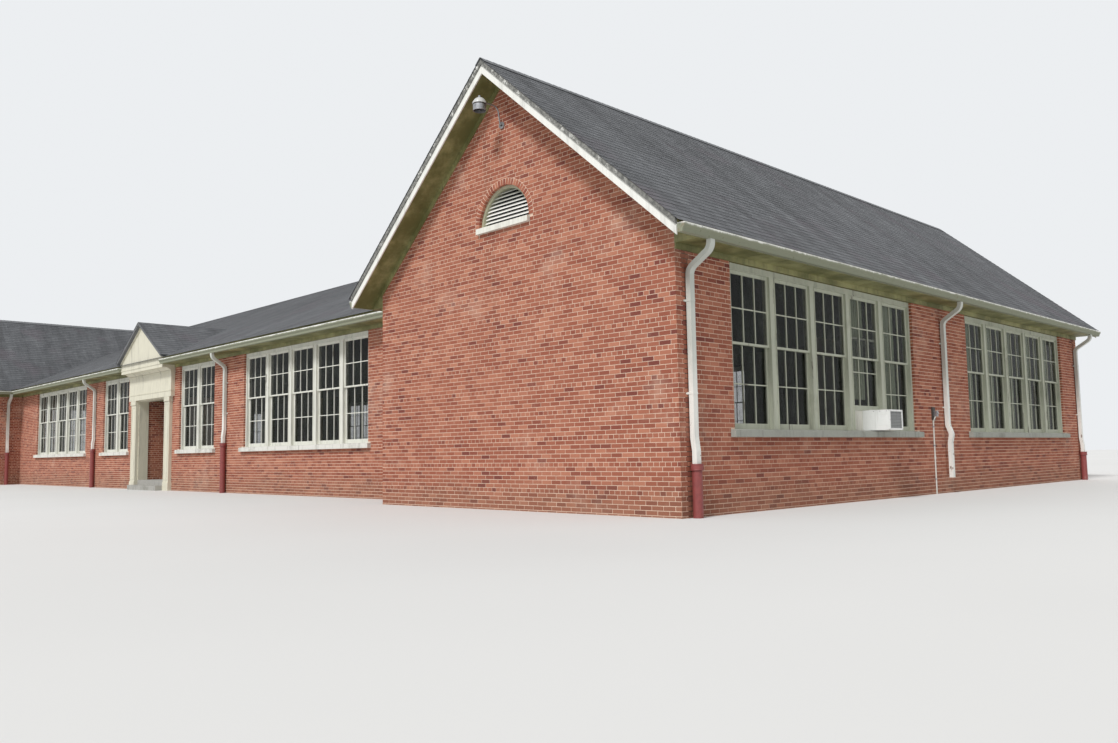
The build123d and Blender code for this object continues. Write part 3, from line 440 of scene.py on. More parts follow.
def plaster_inside(f, place, outer):
    """Dark plaster, with stains, on the half of a wall that faces the rooms."""
    stain = f.patches(2.1, 0.4, 0.7, detail=5.0)
    plaster = f.mixed(stain, (0.150, 0.140, 0.115), (0.085, 0.080, 0.062))
    f.coat(f.ease(abs(place), outer - 0.070, outer - 0.075), plaster)


def mortar_finish(name, on_gable=False):
    """Mortar behind the bricks, and the plaster of a gable's inside face."""
    f = Finish(name)
    grit = mortar_base(f)
    if on_gable:
        plaster_inside(f, f.y, GABLE_Y)
    return f.finished(0.95, f.bump(grit, 0.002), Specular_IOR_Level=0.2)


def reveal_finish(name, across):
    """Wall body with mortar on its main faces and the ends of the courses in its openings."""
    s = settings("bricks")
    f = Finish(name)
    grit = mortar_base(f)
    course = (f.z - SILL_FOOT % s.course) / s.course
    row = course.maths("FLOOR")
    within = (course - row) * s.course
    joint_edge = s.course / 2 - s.joint / 2
    in_joint = f.ease(abs(within - s.course / 2), joint_edge - 0.0008, joint_edge)
    stops = [(0.0, s.dark), (0.4, s.red), (1.0, s.salmon)]
    brick = f.ramp(f.random_of(row), stops)
    ends = f.mixed(in_joint, brick, f.base)
    main_face = f.ease(abs(f.normal(across)), 0.4, 0.6)
    outer, place = (SIDE_X, f.x) if across == "X" else (HALL_Y, f.y)
    f.base = f.mixed(main_face, ends, f.base)
    f.coat(f.ease(f.z, FRIEZE_Z - 0.004, FRIEZE_Z - 0.001), (0.140, 0.130, 0.055))
    plaster_inside(f, place, outer)
    height = grit * 0.3 - in_joint * (1 - main_face)
    return f.finished(0.93, f.bump(height, 0.0016), Specular_IOR_Level=0.2)


def shingle_finish(name, streak):
    """Mineral shingles with a tone for every tab and streaks that run down the slope."""
    s = settings("roof")
    f = Finish(name)
    tone = f.attribute("tone")
    streaks = f.noise(3.1, stretch=streak, detail=5.0, roughness=0.62, distortion=0.25)
    fine_streaks = f.noise(17.0, stretch=streak, detail=3.0)
    patches = f.noise(0.55, detail=3.0)
    value = tone * 0.15 + streaks * 0.80 + fine_streaks * 0.34 + patches * 0.30 - 0.295
    lighter = dimmed(s.grey, 1.35)
    stops = [(0.22, s.dark), (0.46, s.grey), (0.62, lighter), (0.86, s.worn)]
    f.base = f.ramp(value, stops)
    specks = f.noise(520.0, detail=2.0, roughness=0.7)
    f.coat(f.ease(specks, 0.60, 0.72) * 0.35, (0.30, 0.29, 0.29))
    f.coat(f.ease(specks, 0.42, 0.30) * 0.45, (0.018, 0.018, 0.020))
    purple = f.patches(1.5, 0.52, 0.70, detail=4.0)
    f.coat(purple * 0.45, (0.128, 0.104, 0.122))
    level = f.attribute("level")
    f.coat(f.ease(level, 0.16, 0.02) * 0.4, (0.27, 0.28, 0.29))
    # Darker band at the top of each tab: painted shadow under the course above, and dirt.
    f.coat(f.ease(level, 0.62, 0.80) * 0.55, (0.035, 0.036, 0.038))
    return f.finished(0.9, f.bump(specks, 0.0012), Specular_IOR_Level=0.3)


def in_hall(f):
    """1 on the hall's front and rear, 0 on the sides of the wings."""
    return f.ease(abs(f.x), SIDE_X - 1.0, INNER_X)


def aged_paint(name, paint, flaked, mildewed, dirty, grain=(1.0, 1.0, 0.12), gloss=0.0, second=None):
    """Old paint on boards: brush marks along the grain, flakes down to bare wood, dirt and mildew.

    A second tint takes over where its own function of the finish gives 1.
    """
    s = settings("trim")
    f = Finish(name)
    tint = paint
    green = f.patches(2.6, 0.62 - 0.34 * mildewed, 0.80 - 0.20 * mildewed, detail=5.0, roughness=0.66)
    if second:
        share = second[1](f)
        tint = f.mixed(share, tint, second[0])
        green = green * (1.0 - share * 0.8)
    marks = f.noise(60.0, stretch=grain, detail=4.0)
    f.base = f.mixed(f.ease(marks, 0.35, 0.75) * 0.25, tint, dimmed(paint, 0.72))
    lumps = f.noise(9.0, stretch=grain, detail=6.0, roughness=0.72)
    edge = 0.78 - 0.36 * flaked
    flakes = f.ease(lumps, edge, edge + 0.035)
    fibres = f.patches(140.0, 0.35, 0.7, stretch=grain, detail=5.0)
    wood = f.mixed(fibres, s.bare, (0.10, 0.09, 0.075))
    f.coat(flakes * 0.85, wood)
    runs = f.patches(13.0, 0.48, 0.78, stretch=drawn_down(0.10), detail=5.0, roughness=0.65)
    f.coat(runs * dirty, s.soot)
    f.coat(green * mildewed * 0.85, s.mildew)
    height = marks * 0.35 - flakes * 0.8
    roughness = 0.55 - gloss * 0.2 + flakes * 0.3 + runs * 0.1
    return f.finished(roughness, f.bump(height, 0.0012))


def rake_mould_finish():
    """Upper rake board: its paint worn to grey, darker lower down, and paler near the ridge."""
    s = settings("trim")
    f = Finish("worn rake mould")
    fibres = f.patches(45.0, 0.3, 0.7, detail=5.0)
    wood = f.mixed(fibres, (0.110, 0.112, 0.105), (0.250, 0.248, 0.228))
    flecks = f.patches(24.0, 0.52, 0.62, detail=6.0, roughness=0.75)
    kept = f.ease(f.z + (f.noise(1.4, detail=3.0) - 0.5) * 2.4, 2.0, 3.7)
    f.base = f.mixed(flecks * kept * 0.9, wood, s.white)
    return f.finished(0.85, f.bump(flecks, 0.001))


def gutter_finish():
    """Gutter enamel: a bright lip, and a body that dirt, mildew and painted shade turn dark green towards
    its foot.
    """
    s = settings("trim")
    low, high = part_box("gutters")
    f = Finish("gutter enamel")
    level = (f.z - low.z) / (high.z - low.z)
    grime = f.noise(7.0, stretch=drawn_down(0.4), detail=6.0, roughness=0.7)
    runs = f.noise(26.0, stretch=drawn_down(0.06), detail=4.0)
    grime_and_shade = f.ease(level + (grime - 0.5) * 0.45 + (runs - 0.5) * 0.35, 0.98, 0.74)
    # Dark olive body under the bright lip: grime, and painted shade.
    f.base = f.mixed(grime_and_shade * 0.9, s.white, (0.190, 0.205, 0.125))
    spots = f.patches(30.0, 0.60, 0.70, detail=6.0, roughness=0.75)
    f.coat(spots * grime_and_shade * 0.8, s.mildew)
    rust = f.patches(4.3, 0.66, 0.74, detail=6.0, roughness=0.7)
    f.coat(rust * 0.4, (0.20, 0.085, 0.035))
    return f.finished(0.42 + grime_and_shade * 0.35, f.bump(grime, 0.0008))


def spout_finish():
    """Downspout enamel, chalky white with grey runs, a darker upper part that is painted shade of the eaves,
    and a little rust near its foot.
    """
    s = settings("trim")
    f = Finish("downspout enamel")
    runs = f.noise(42.0, stretch=drawn_down(0.05), detail=4.0)
    clouds = f.noise(5.0, detail=5.0, roughness=0.65)
    f.base = f.mixed(f.ease(runs, 0.45, 0.75) * 0.35, s.white, (0.40, 0.42, 0.40))
    f.coat(f.ease(clouds, 0.50, 0.75) * 0.45, (0.46, 0.47, 0.42))
    # Darker upper part: painted shade of the eaves.
    f.coat(f.ease(f.z + (clouds - 0.5) * 0.6, 0.80, 1.30) * 0.7, (0.46, 0.49, 0.44))
    rust = f.ease(f.noise(16.0, detail=6.0, roughness=0.72) + f.ease(f.z, 0.9, 0.3) * 0.09, 0.66, 0.72)
    f.coat(rust * 0.8, (0.16, 0.065, 0.03))
    return f.finished(0.42 + rust * 0.4, f.bump(runs, 0.0006))


def cast_iron_finish():
    """Cast iron under old maroon paint, with rust breaking through."""
    f = Finish("painted cast iron")
    lumps = f.noise(38.0, detail=6.0, roughness=0.7)
    f.base = f.mixed(f.ease(lumps, 0.4, 0.75) * 0.5, (0.270, 0.062, 0.058), (0.130, 0.035, 0.033))
    rust = f.patches(20.0, 0.57, 0.66, detail=6.0, roughness=0.75)
    f.coat(rust, (0.220, 0.080, 0.045))
    chalk = f.patches(9.0, 0.60, 0.72, stretch=drawn_down(0.3), detail=4.0)
    f.coat(chalk * 0.45, (0.52, 0.34, 0.32))
    return f.finished(0.5 + rust * 0.4, f.bump(lumps, 0.002))


def stone_finish(name, tint, stains, sunlit_hall_tint=None):
    """Cast stone or concrete: fine grit, pits, and dark stains that run down."""
    f = Finish(name)
    grit = f.noise(190.0, detail=5.0, roughness=0.7)
    f.base = f.mixed(f.ease(grit, 0.3, 0.75) * 0.35, tint, dimmed(tint, 0.68))
    if sunlit_hall_tint:
        # Lighter sills in the hall: painted sunlight.
        f.coat(in_hall(f), sunlit_hall_tint)
    clouds = f.noise(4.5, detail=6.0, roughness=0.68)
    f.coat(f.ease(clouds, 0.48, 0.74) * stains, (0.15, 0.15, 0.115))
    runs = f.patches(20.0, 0.52, 0.74, stretch=drawn_down(0.12), detail=4.0)
    f.coat(runs * stains * 0.7, (0.09, 0.088, 0.07))
    pits = f.ease(grit, 0.34, 0.26)
    return f.finished(0.9, f.bump(grit - pits, 0.0016), Specular_IOR_Level=0.25)


def glass_finish():
    """Old window glass: a near-black base colour that paints the shade of the rooms behind it, a dusty film
    and slight waves.
    """
    f = Finish("window glass")
    waves = f.noise(3.4, detail=2.0)
    dust = f.patches(14.0, 0.45, 0.8, stretch=drawn_down(0.5), detail=6.0, roughness=0.7)
    # Near-black base: painted shade of the rooms seen through the glass.
    f.base = f.mixed(dust * 0.35, (0.010, 0.013, 0.009), (0.11, 0.13, 0.09))
    alpha = 0.24 + dust * 0.20
    return f.finished(0.06 + dust * 0.22, f.bump(waves, 0.002), Alpha=alpha, Specular_IOR_Level=0.28)


def metal_finish(name, tint, rust_share=0.3, roughness=0.42):
    """Galvanised steel: a mottled zinc bloom, with dull oxide and a little rust."""
    f = Finish(name)
    bloom = f.noise(90.0, detail=3.0)
    f.base = f.mixed(f.ease(bloom, 0.35, 0.7), tint, dimmed(tint, 0.7))
    oxide = f.patches(24.0, 0.5, 0.72, detail=6.0, roughness=0.7)
    f.coat(oxide * 0.5, (0.33, 0.33, 0.32))
    rust = f.patches(33.0, 0.64, 0.72, detail=6.0, roughness=0.75)
    f.coat(rust * rust_share, (0.20, 0.09, 0.045))
    metallic = 0.75 - oxide * 0.4 - rust * 0.3
    return f.finished(roughness + oxide * 0.25, f.bump(bloom, 0.0003), Metallic=metallic)


def enamel_finish(name, tint, dirt=0.35):
    """Sprayed enamel on sheet metal, with dirt that has run down it."""
    f = Finish(name)
    peel = f.noise(420.0, detail=2.0)
    runs = f.patches(36.0, 0.50, 0.78, stretch=drawn_down(0.1), detail=5.0)
    clouds = f.patches(11.0, 0.5, 0.8, detail=5.0)
    f.base = f.mixed(clouds * 0.3, tint, dimmed(tint, 0.75))
    f.coat(runs * dirt, (0.20, 0.18, 0.14))
    return f.finished(0.35 + runs * 0.3, f.bump(peel, 0.0002))


def cloth_finish():
    """Curtain cloth with a fine weave, dark in the hollows of its folds as painted shade and pale on their
    crests as painted light.
    """
    s = settings("curtains")
    f = Finish("curtain cloth")
    weave = f.noise(620.0, detail=1.0)
    fade = f.noise(2.2, stretch=drawn_down(0.35), detail=4.0) - 0.5
    f.base = f.mixed(f.ease(f.attribute("fold") + fade * 0.8, 0.15, 0.85), s.deep, s.fold_crest)
    damp = f.ease(f.z + f.noise(6.0, detail=4.0) * 0.25, 1.02, 0.82)
    f.coat(damp * 0.3, (0.20, 0.17, 0.10))
    f.coat(f.ease(weave, 0.4, 0.7) * 0.2, (0.16, 0.19, 0.12))
    return f.finished(0.95, f.bump(weave, 0.0006), Sheen_Weight=0.15)


@cache
def finish_named(name):
    """The building's finishes, each made once."""
    trim = settings("trim")
    # Hall frames and sashes lighter, with less mildew: painted sunlight on the hall.
    sunlit_hall_sash = (trim.sunlit_sash, in_hall)
    vent_sill = ((0.80, 0.79, 0.72), lambda f: f.ease(f.z, VENT_SPRING_Z + 0.003, VENT_SPRING_Z))
    # Upper louvres darker: painted shade of the arch over the vent.
    painted_arch_shade = ((0.20, 0.21, 0.17), lambda f: f.ease(f.z, VENT_SPRING_Z + 0.13, VENT_SPRING_Z + 0.23) * 0.8)
    makers = {
        "brick": brick_finish,
        "mortar": lambda: mortar_finish("mortar"),
        "gable_wall": lambda: mortar_finish("gable wall body", True),
        "side_wall": lambda: reveal_finish("side wall body", "X"),
        "hall_wall": lambda: reveal_finish("hall wall body", "Y"),
        "wing_shingles": lambda: shingle_finish("wing shingles", (0.15, 1.0, 0.15)),
        "hall_shingles": lambda: shingle_finish("hall shingles", (1.0, 0.15, 0.15)),
        "white_board": lambda: aged_paint("white rake board", trim.white, 0.25, 0.0, 0.35),
        "mould": rake_mould_finish,
        "eave_board": lambda: aged_paint("eave boards", trim.cream, 0.3, 0.85, 0.45),
        # Soffit boards with heavy mildew, darker than the paint alone: mildew, and painted shade under the
        # eaves.
        "soffit": lambda: aged_paint("soffit boards", trim.cream, 0.35, 0.95, 0.3, (0.12, 1.0, 1.0)),
        "window_frame": lambda: aged_paint("frame paint", trim.sash, 0.45, 0.3, 0.4, second=sunlit_hall_sash),
        "sash": lambda: aged_paint("sash paint", trim.sash, 0.45, 0.15, 0.3, second=sunlit_hall_sash),
        "entrance": lambda: aged_paint("entrance paint", trim.entrance, 0.3, 0.2, 0.4),
        "vent": lambda: aged_paint("vent frame paint", (0.46, 0.45, 0.32), 0.3, 0.45, 0.3, second=vent_sill),
        "louvre": lambda: aged_paint("louvre paint", (0.90, 0.89, 0.85), 0.15, 0.0, 0.1, second=painted_arch_shade),
        "door": lambda: aged_paint("door paint", (0.095, 0.115, 0.085), 0.2, 0.0, 0.3, gloss=0.6),
        "dark_board": lambda: aged_paint("meter board", (0.050, 0.042, 0.036), 0.5, 0.0, 0.4),
        "gutter": gutter_finish,
        "spout": spout_finish,
        "cast_iron": cast_iron_finish,
        "sill": lambda: stone_finish("window sill", (0.38, 0.39, 0.35), 0.5, (0.72, 0.71, 0.66)),
        "concrete": lambda: stone_finish("concrete", (0.42, 0.41, 0.38), 0.5),
        "floor": lambda: stone_finish("room floor", (0.13, 0.11, 0.085), 0.5),
        "glass": glass_finish,
        "zinc": lambda: metal_finish("galvanised steel", (0.38, 0.385, 0.40)),
        "pale_metal": lambda: metal_finish("meter case", (0.42, 0.43, 0.45), 0.2, 0.35),
        "case": lambda: enamel_finish("white case", (0.84, 0.85, 0.83), 0.2),
        "lamp_cap": lambda: enamel_finish("lamp cap", (0.56, 0.56, 0.55), 0.5),
        "pleat": lambda: enamel_finish("pleated panel", (0.70, 0.69, 0.62), 0.4),
        "grille": lambda: enamel_finish("grey grille", (0.30, 0.31, 0.31), 0.4),
        "brass": lambda: metal_finish("dull brass", (0.36, 0.27, 0.13), 0.3, 0.4),
        "conduit": lambda: enamel_finish("conduit paint", (0.66, 0.65, 0.60), 0.6),
        "dark_metal": lambda: metal_finish("dark fittings", (0.10, 0.09, 0.08), 0.5, 0.5),
        "cloth": cloth_finish,
    }
    return makers[name]()


NODE_FINISHES = {
    "mortar": ["return_walls", "porch_walls"],
    "gable_wall": [f"{label}_{place}_gable_wall" for _, label in SIDES for _, place in ENDS],
    "side_wall": ["right_side_wall", "left_side_wall"],
    "hall_wall": ["hall_front_wall_right", "hall_front_wall_left", "wall_over_entrance", "hall_rear_wall"],
    "wing_shingles": [
        "wing_outer_roofs", "wing_inner_roofs_front", "wing_inner_roofs_rear", "pediment_roof",
    ],
    "hall_shingles": ["hall_roof_front", "hall_roof_rear"],
    "white_board": ["rake_fascias"],
    "mould": ["rake_moulds"],
    "eave_board": ["eave_fascias", "eave_friezes", "cornice_returns", "rake_friezes"],
    "soffit": ["eave_soffits", "porch_ceiling"],
    "window_frame": ["window_frames"],
    "sash": ["upper_sashes", "lower_sashes"],
    "entrance": ["entrance_lining", "pilasters", "entablature", "pediment_board", "door_screen"],
    "vent": ["vent_frames"],
    "louvre": ["vent_louvres"],
    "door": ["doors"],
    "dark_board": ["meter_board"],
    "gutter": ["gutters"],
    "spout": ["downspouts"],
    "cast_iron": ["downspout_boots"],
    "sill": ["window_sills"],
    "concrete": ["hall_floor", "entrance_step"],
    "floor": ["wing_floors"],
    "glass": ["window_glass", "door_glass", "lamp_bulb"],
    "zinc": ["lamp_arm", "lamp_head", "curtain_rods"],
    "pale_metal": ["meter_box"],
    "case": ["air_conditioner"],
    "conduit": ["conduit"],
}


def dress_nodes():
    """Gives every CAD node its finish."""
    for finish, nodes in NODE_FINISHES.items():
        for node in nodes:
            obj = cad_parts[node]
            if not obj.material_slots:
                obj.data.materials.append(None)
            for slot in obj.material_slots:
                slot.material = finish_named(finish)


# Meshes and geometry trees


def new_object(name, mesh):
    obj = bpy.data.objects.new(name, mesh)
    bpy.context.scene.collection.objects.link(obj)
    return obj


def mesh_of(name, points, faces):
    mesh = bpy.data.meshes.new(name)
    mesh.from_pydata(points, [], faces)
    mesh.update()
    return mesh


def solids_of(node):
    """Lowest and highest corner of each separate solid of a CAD node."""
    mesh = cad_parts[node].data
    places = np.empty(len(mesh.vertices) * 3, np.float32)
    mesh.vertices.foreach_get("co", places)
    corners = np.empty(len(mesh.loops), np.int32)
    mesh.loops.foreach_get("vertex_index", corners)
    places, same = np.unique(np.round(places.reshape(-1, 3), 5), axis=0, return_inverse=True)
    triangles = same.ravel()[corners].reshape(-1, 3)
    label = np.arange(len(places))
    while True:
        joined = label.copy()
        np.minimum.at(joined, triangles.ravel(), np.repeat(label[triangles].min(1), 3))
        joined = joined[joined]
        if (joined == label).all():
            break
        label = joined
    groups = [places[label == one] for one in np.unique(label)]
    return [(Vector(group.min(0)), Vector(group.max(0))) for group in groups]


SOCKET_KINDS = {float: "Float", int: "Int", tuple: "Vector"}


def geometry_tree(name, **inputs):
    """The nodes of a new geometry tree, and its input sockets by name.

    Each input is given by its default value, or by its kind where it has none.
    """
    tree = bpy.data.node_groups.new(name, "GeometryNodeTree")
    for label, default in {"Geometry": "Geometry", **inputs, "Material": "Material"}.items():
        kind = SOCKET_KINDS.get(type(default), default)
        socket = tree.interface.new_socket(label, in_out="INPUT", socket_type="NodeSocket" + kind)
        if kind != default:
            socket.default_value = default
    tree.interface.new_socket("Geometry", in_out="OUTPUT", socket_type="NodeSocketGeometry")
    nodes = Nodes(tree)
    start = tree.nodes.new("NodeGroupInput")
    return nodes, {socket.name: Socket(nodes, socket) for socket in start.outputs if socket.name}


def end_tree(nodes, given, instances):
    """Closes a tree: a random tone for each instance where there is a seed, and the material."""
    if "Seed" in given:
        seed = {"Seed": given["Seed"]}
        tone = nodes.node("FunctionNodeRandomValue", {"data_type": "FLOAT"}, seed, output="Value")
        choices = {"data_type": "FLOAT", "domain": "INSTANCE"}
        inputs = {"Geometry": instances, "Name": "tone", "Value": tone}
        instances = nodes.node("GeometryNodeStoreNamedAttribute", choices, inputs)
    real = nodes.node("GeometryNodeRealizeInstances", inputs={"Geometry": instances})
    inputs = {"Geometry": real, "Material": given["Material"]}
    nodes.end("NodeGroupOutput", "Geometry", nodes.node("GeometryNodeSetMaterial", inputs=inputs))
    return nodes.tree


def point_vector(nodes, name):
    choices = {"data_type": "FLOAT_VECTOR"}
    return nodes.node("GeometryNodeInputNamedAttribute", choices, {"Name": name}, output="Attribute")


def copies_on(nodes, points, one, **choices):
    """One shape on every point, turned as the point's own turn says."""
    turned = nodes.node("FunctionNodeEulerToRotation", inputs={"Euler": point_vector(nodes, "turn")})
    placed = {"Points": points, "Instance": one, "Rotation": turned, **choices}
    return nodes.node("GeometryNodeInstanceOnPoints", inputs=placed)


def laid_units_tree():
    """Bricks or shingle tabs: a block on each point, as large and turned as the point says."""
    nodes, given = geometry_tree("laid units", Wobble=0.0004, Seed=0)
    ends = {"Min": (-1.0, -1.0, -1.0), "Max": (1.0, 1.0, 1.0), "Seed": given["Seed"] + 1}
    choices = {"data_type": "FLOAT_VECTOR"}
    jitter = nodes.node("FunctionNodeRandomValue", choices, ends, output="Value")
    shift = nodes.node("ShaderNodeVectorMath", {"operation": "SCALE"}, {0: jitter, "Scale": given["Wobble"]})
    moved = nodes.node("GeometryNodeSetPosition", inputs={"Geometry": given["Geometry"], "Offset": shift})
    block = nodes.node("GeometryNodeMeshCube", inputs={"Size": (1.0, 1.0, 1.0)})
    place = nodes.node("GeometryNodeInputPosition")
    level = nodes.node("ShaderNodeSeparateXYZ", inputs={0: place}, output="Y") + 0.5
    stored = {"Geometry": block, "Name": "level", "Value": level}
    block = nodes.node("GeometryNodeStoreNamedAttribute", {"data_type": "FLOAT", "domain": "POINT"}, stored)
    blocks = copies_on(nodes, moved, block, Scale=point_vector(nodes, "size"))
    return end_tree(nodes, given, blocks)


def row_tree():
    """Copies of one small piece at even steps along a line."""
    nodes, given = geometry_tree("row of copies", Count=2, Step=(0.1, 0.0, 0.0), Seed=0)
    line = nodes.node("GeometryNodeMeshLine", inputs={"Count": given["Count"], "Offset": given["Step"]})
    placed = {"Points": line, "Instance": given["Geometry"]}
    return end_tree(nodes, given, nodes.node("GeometryNodeInstanceOnPoints", inputs=placed))


def sash_bars_tree():
    """Bars of a sash: upright and level blocks that part its light into panes, on every given point."""
    sizes = {"Width": 0.475, "Height": 0.5, "Columns": 3, "Rows": 2, "Bar": 0.009, "Depth": 0.013}
    nodes, given = geometry_tree("sash bars", **sizes)

    def vector(x, y, z):
        return nodes.node("ShaderNodeCombineXYZ", inputs={"X": x, "Y": y, "Z": z})

    def line(number, first, step, size):
        copies = {"Count": number - 1, "Start Location": first, "Offset": step}
        places = nodes.node("GeometryNodeMeshLine", inputs=copies)
        block = nodes.node("GeometryNodeMeshCube", inputs={"Size": size})
        return nodes.node("GeometryNodeInstanceOnPoints", inputs={"Points": places, "Instance": block})

    pitch = given["Width"] / given["Columns"]
    rise = given["Height"] / given["Rows"]
    upright = line(
        given["Columns"],
        vector(pitch - given["Width"] / 2, 0.0, 0.0),
        vector(pitch, 0.0, 0.0),
        vector(given["Bar"], given["Depth"], given["Height"]),
    )
    level = line(
        given["Rows"],
        vector(0.0, 0.0, rise - given["Height"] / 2),
        vector(0.0, 0.0, rise),
        vector(given["Width"], given["Depth"] * 0.92, given["Bar"]),
    )
    bars = nodes.tree.nodes.new("GeometryNodeJoinGeometry")
    for part in (upright, level):
        nodes.tree.links.new(part.socket, bars.inputs[0])
    all_bars = Socket(nodes, bars.outputs[0])
    one_sash = nodes.node("GeometryNodeRealizeInstances", inputs={"Geometry": all_bars})
    return end_tree(nodes, given, copies_on(nodes, given["Geometry"], one_sash))


def set_out_tree():
    """Copies of one small object on every given point, turned as the point says."""
    nodes, given = geometry_tree("copies set out", Piece="Object", Seed=0)
    one = nodes.node("GeometryNodeObjectInfo", inputs={"Object": given["Piece"]}, output="Geometry")
    return end_tree(nodes, given, copies_on(nodes, given["Geometry"], one))


@cache
def tree_named(name):
    makers = {"laid": laid_units_tree, "row": row_tree, "bars": sash_bars_tree, "set_out": set_out_tree}
    return makers[name]()


def grown(obj, tree, values):
    """Runs a geometry tree on an object and leaves its result as the object's plain mesh."""
    modifier = obj.modifiers.new("pattern", "NODES")
    modifier.node_group = tree_named(tree)
    for item in modifier.node_group.interface.items_tree:
        if item.in_out == "INPUT" and item.name in values:
            modifier[item.identifier] = values[item.name]
    graph = bpy.context.evaluated_depsgraph_get()
    result = obj.evaluated_get(graph)
    mesh = bpy.data.meshes.new_from_object(result, preserve_all_data_layers=True, depsgraph=graph)
    obj.modifiers.clear()
    obj.data = mesh
    return obj


def point_object(name, places, **vectors):
    """Loose points with a vector attribute for each name given."""
    mesh = bpy.data.meshes.new(name)
    mesh.vertices.add(len(places))
    mesh.vertices.foreach_set("co", np.array(places, np.float32).ravel())
    for label, values in vectors.items():
        layer = mesh.attributes.new(label, "FLOAT_VECTOR", "POINT")
        layer.data.foreach_set("vector", np.array(values, np.float32).ravel())
    return new_object(name, mesh)


def laid(name, places, sizes, turns, wobble, seed, finish):
    """A block on every place, with its own size, turn and tone."""
    obj = point_object(name, places, size=sizes, turn=turns)
    return grown(obj, "laid", {"Wobble": wobble, "Seed": seed, "Material": finish_named(finish)})


def trimmed(obj, *planes):
    """Cuts a mesh of closed blocks by planes and closes the cuts; each plane keeps its back side."""
    cut = bmesh.new()
    cut.from_mesh(obj.data)
    for point, facing in planes:
        geometry = cut.verts[:] + cut.edges[:] + cut.faces[:]
        bmesh.ops.bisect_plane(cut, geom=geometry, plane_co=point, plane_no=facing, clear_outer=True)
        open_edges = [edge for edge in cut.edges if edge.is_boundary]
        bmesh.ops.holes_fill(cut, edges=open_edges, sides=8)
    cut.to_mesh(obj.data)
    cut.free()
    return obj


def seated(obj, slot, *replaced):
    """Hands a finished piece to the building."""
    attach(obj, "root")
    if replaced:
        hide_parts(*replaced)
    return obj


# Bricks


class WallFace:
    """Outer face of a wall, from its start on the ground along a level direction."""

    def __init__(self, start, end, outward, top=FRIEZE_Z, foot=0.0):
        self.start = Vector((*start, 0.0))
        self.along = (Vector((*end, 0.0)) - self.start).normalized()
        self.length = (Vector((*end, 0.0)) - self.start).length
        self.outward = Vector((*outward, 0.0))
        self.top = top
        self.foot = foot
        self.openings = []
        self.peak = None
        self.arch = None

    def open_for(self, boxes):
        """Notes the openings whose frames lie in this wall."""
        for low, high in boxes:
            middle = (low + high) / 2 - self.start
            if abs(middle.dot(self.outward)) > WALL:
                continue
            ends = sorted((corner - self.start).dot(self.along) for corner in (low, high))
            if ends[0] > -WALL and ends[1] < self.length + WALL:
                self.openings.append((ends[0], ends[1], low.z, high.z))
        return self

    def reach(self, z):
        """Ends of the wall at a height."""
        if self.peak is None:
            return 0.0, self.length
        half = min(self.length / 2, (self.peak - z) / WING_SLOPE)
        return self.length / 2 - half, self.length / 2 + half

    def stretches(self, z0, z1):
        """Stretches of a course between the openings, each with its own foot and head."""
        low, high = self.reach((z0 + z1) / 2)
        cuts = {low, high}
        gaps = list(self.openings)
        if self.arch and z1 > self.arch[1]:
            rise = max((z0 + z1) / 2 - self.arch[1], 0.0)
            if rise < self.arch[2]:
                half = math.sqrt(self.arch[2] ** 2 - rise**2)
                gaps.append((self.arch[0] - half, self.arch[0] + half, z0, z1))
        for gap in gaps:
            if gap[2] < z1 and gap[3] > z0:
                cuts.update(end for end in gap[:2] if low < end < high)
        cuts = sorted(cuts)
        found = []
        for a, b in zip(cuts, cuts[1:]):
            foot, head = z0, z1
            for gap in gaps:
                if gap[0] < (a + b) / 2 < gap[1] and gap[2] < z1 and gap[3] > z0:
                    below, above = gap[2] - z0, z1 - gap[3]
                    foot, head = (foot, gap[2]) if below > above else (gap[3], head)
            if found and found[-1][1] == a and found[-1][2:] == (foot, head):
                found[-1] = (found[-1][0], b, foot, head)
            else:
                found.append((a, b, foot, head))
        return found


SHORTEST_BRICK = 0.008


def laid_bricks(face, s):
    """Centres and sizes of the bricks of a wall face, in a bond with header courses."""
    centres, sizes = [], []
    count_along = max(1, round(face.length / s.stretcher))
    pitch = face.length / count_along
    out = face.outward * (s.proud - s.depth / 2)
    phase = SILL_FOOT % s.course
    courses = math.floor((face.foot - phase) / s.course), math.ceil((face.top - phase) / s.course)
    for course in range(*courses):
        z0 = max(phase + course * s.course, face.foot)
        z1 = min(phase + (course + 1) * s.course, face.top)
        headers = course % s.header_every == s.header_every - 2
        step = pitch / 2 if headers else pitch
        shift = pitch / 4 if headers else (course % 2) * pitch / 2
        for a, b, foot, head in face.stretches(z0, z1):
            height = head - foot - s.joint
            if height < SHORTEST_BRICK or b - a < SHORTEST_BRICK:
                continue
            for number in range(math.floor((a + shift) / step), math.ceil((b + shift) / step)):
                u0, u1 = number * step - shift, (number + 1) * step - shift
                u0 = a if u0 < a else u0 + s.joint / 2
                u1 = b if u1 > b else u1 - s.joint / 2
                if u1 - u0 < SHORTEST_BRICK:
                    continue
                place = face.start + face.along * ((u0 + u1) / 2) + out
                centres.append((place.x, place.y, (foot + head) / 2))
                sizes.append((u1 - u0, s.depth, height))
    return centres, sizes


def brick_piece(name, faces):
    """The bricks of one or more wall faces as a piece."""
    s = settings("bricks")
    centres, sizes, turns = [], [], []
    for face in faces:
        more, their_sizes = laid_bricks(face, s)
        centres += more
        sizes += their_sizes
        turns += [(0.0, 0.0, math.atan2(face.along.y, face.along.x))] * len(more)
    return seated(laid(name, centres, sizes, turns, s.wobble, s.seed, "brick"), "brick")


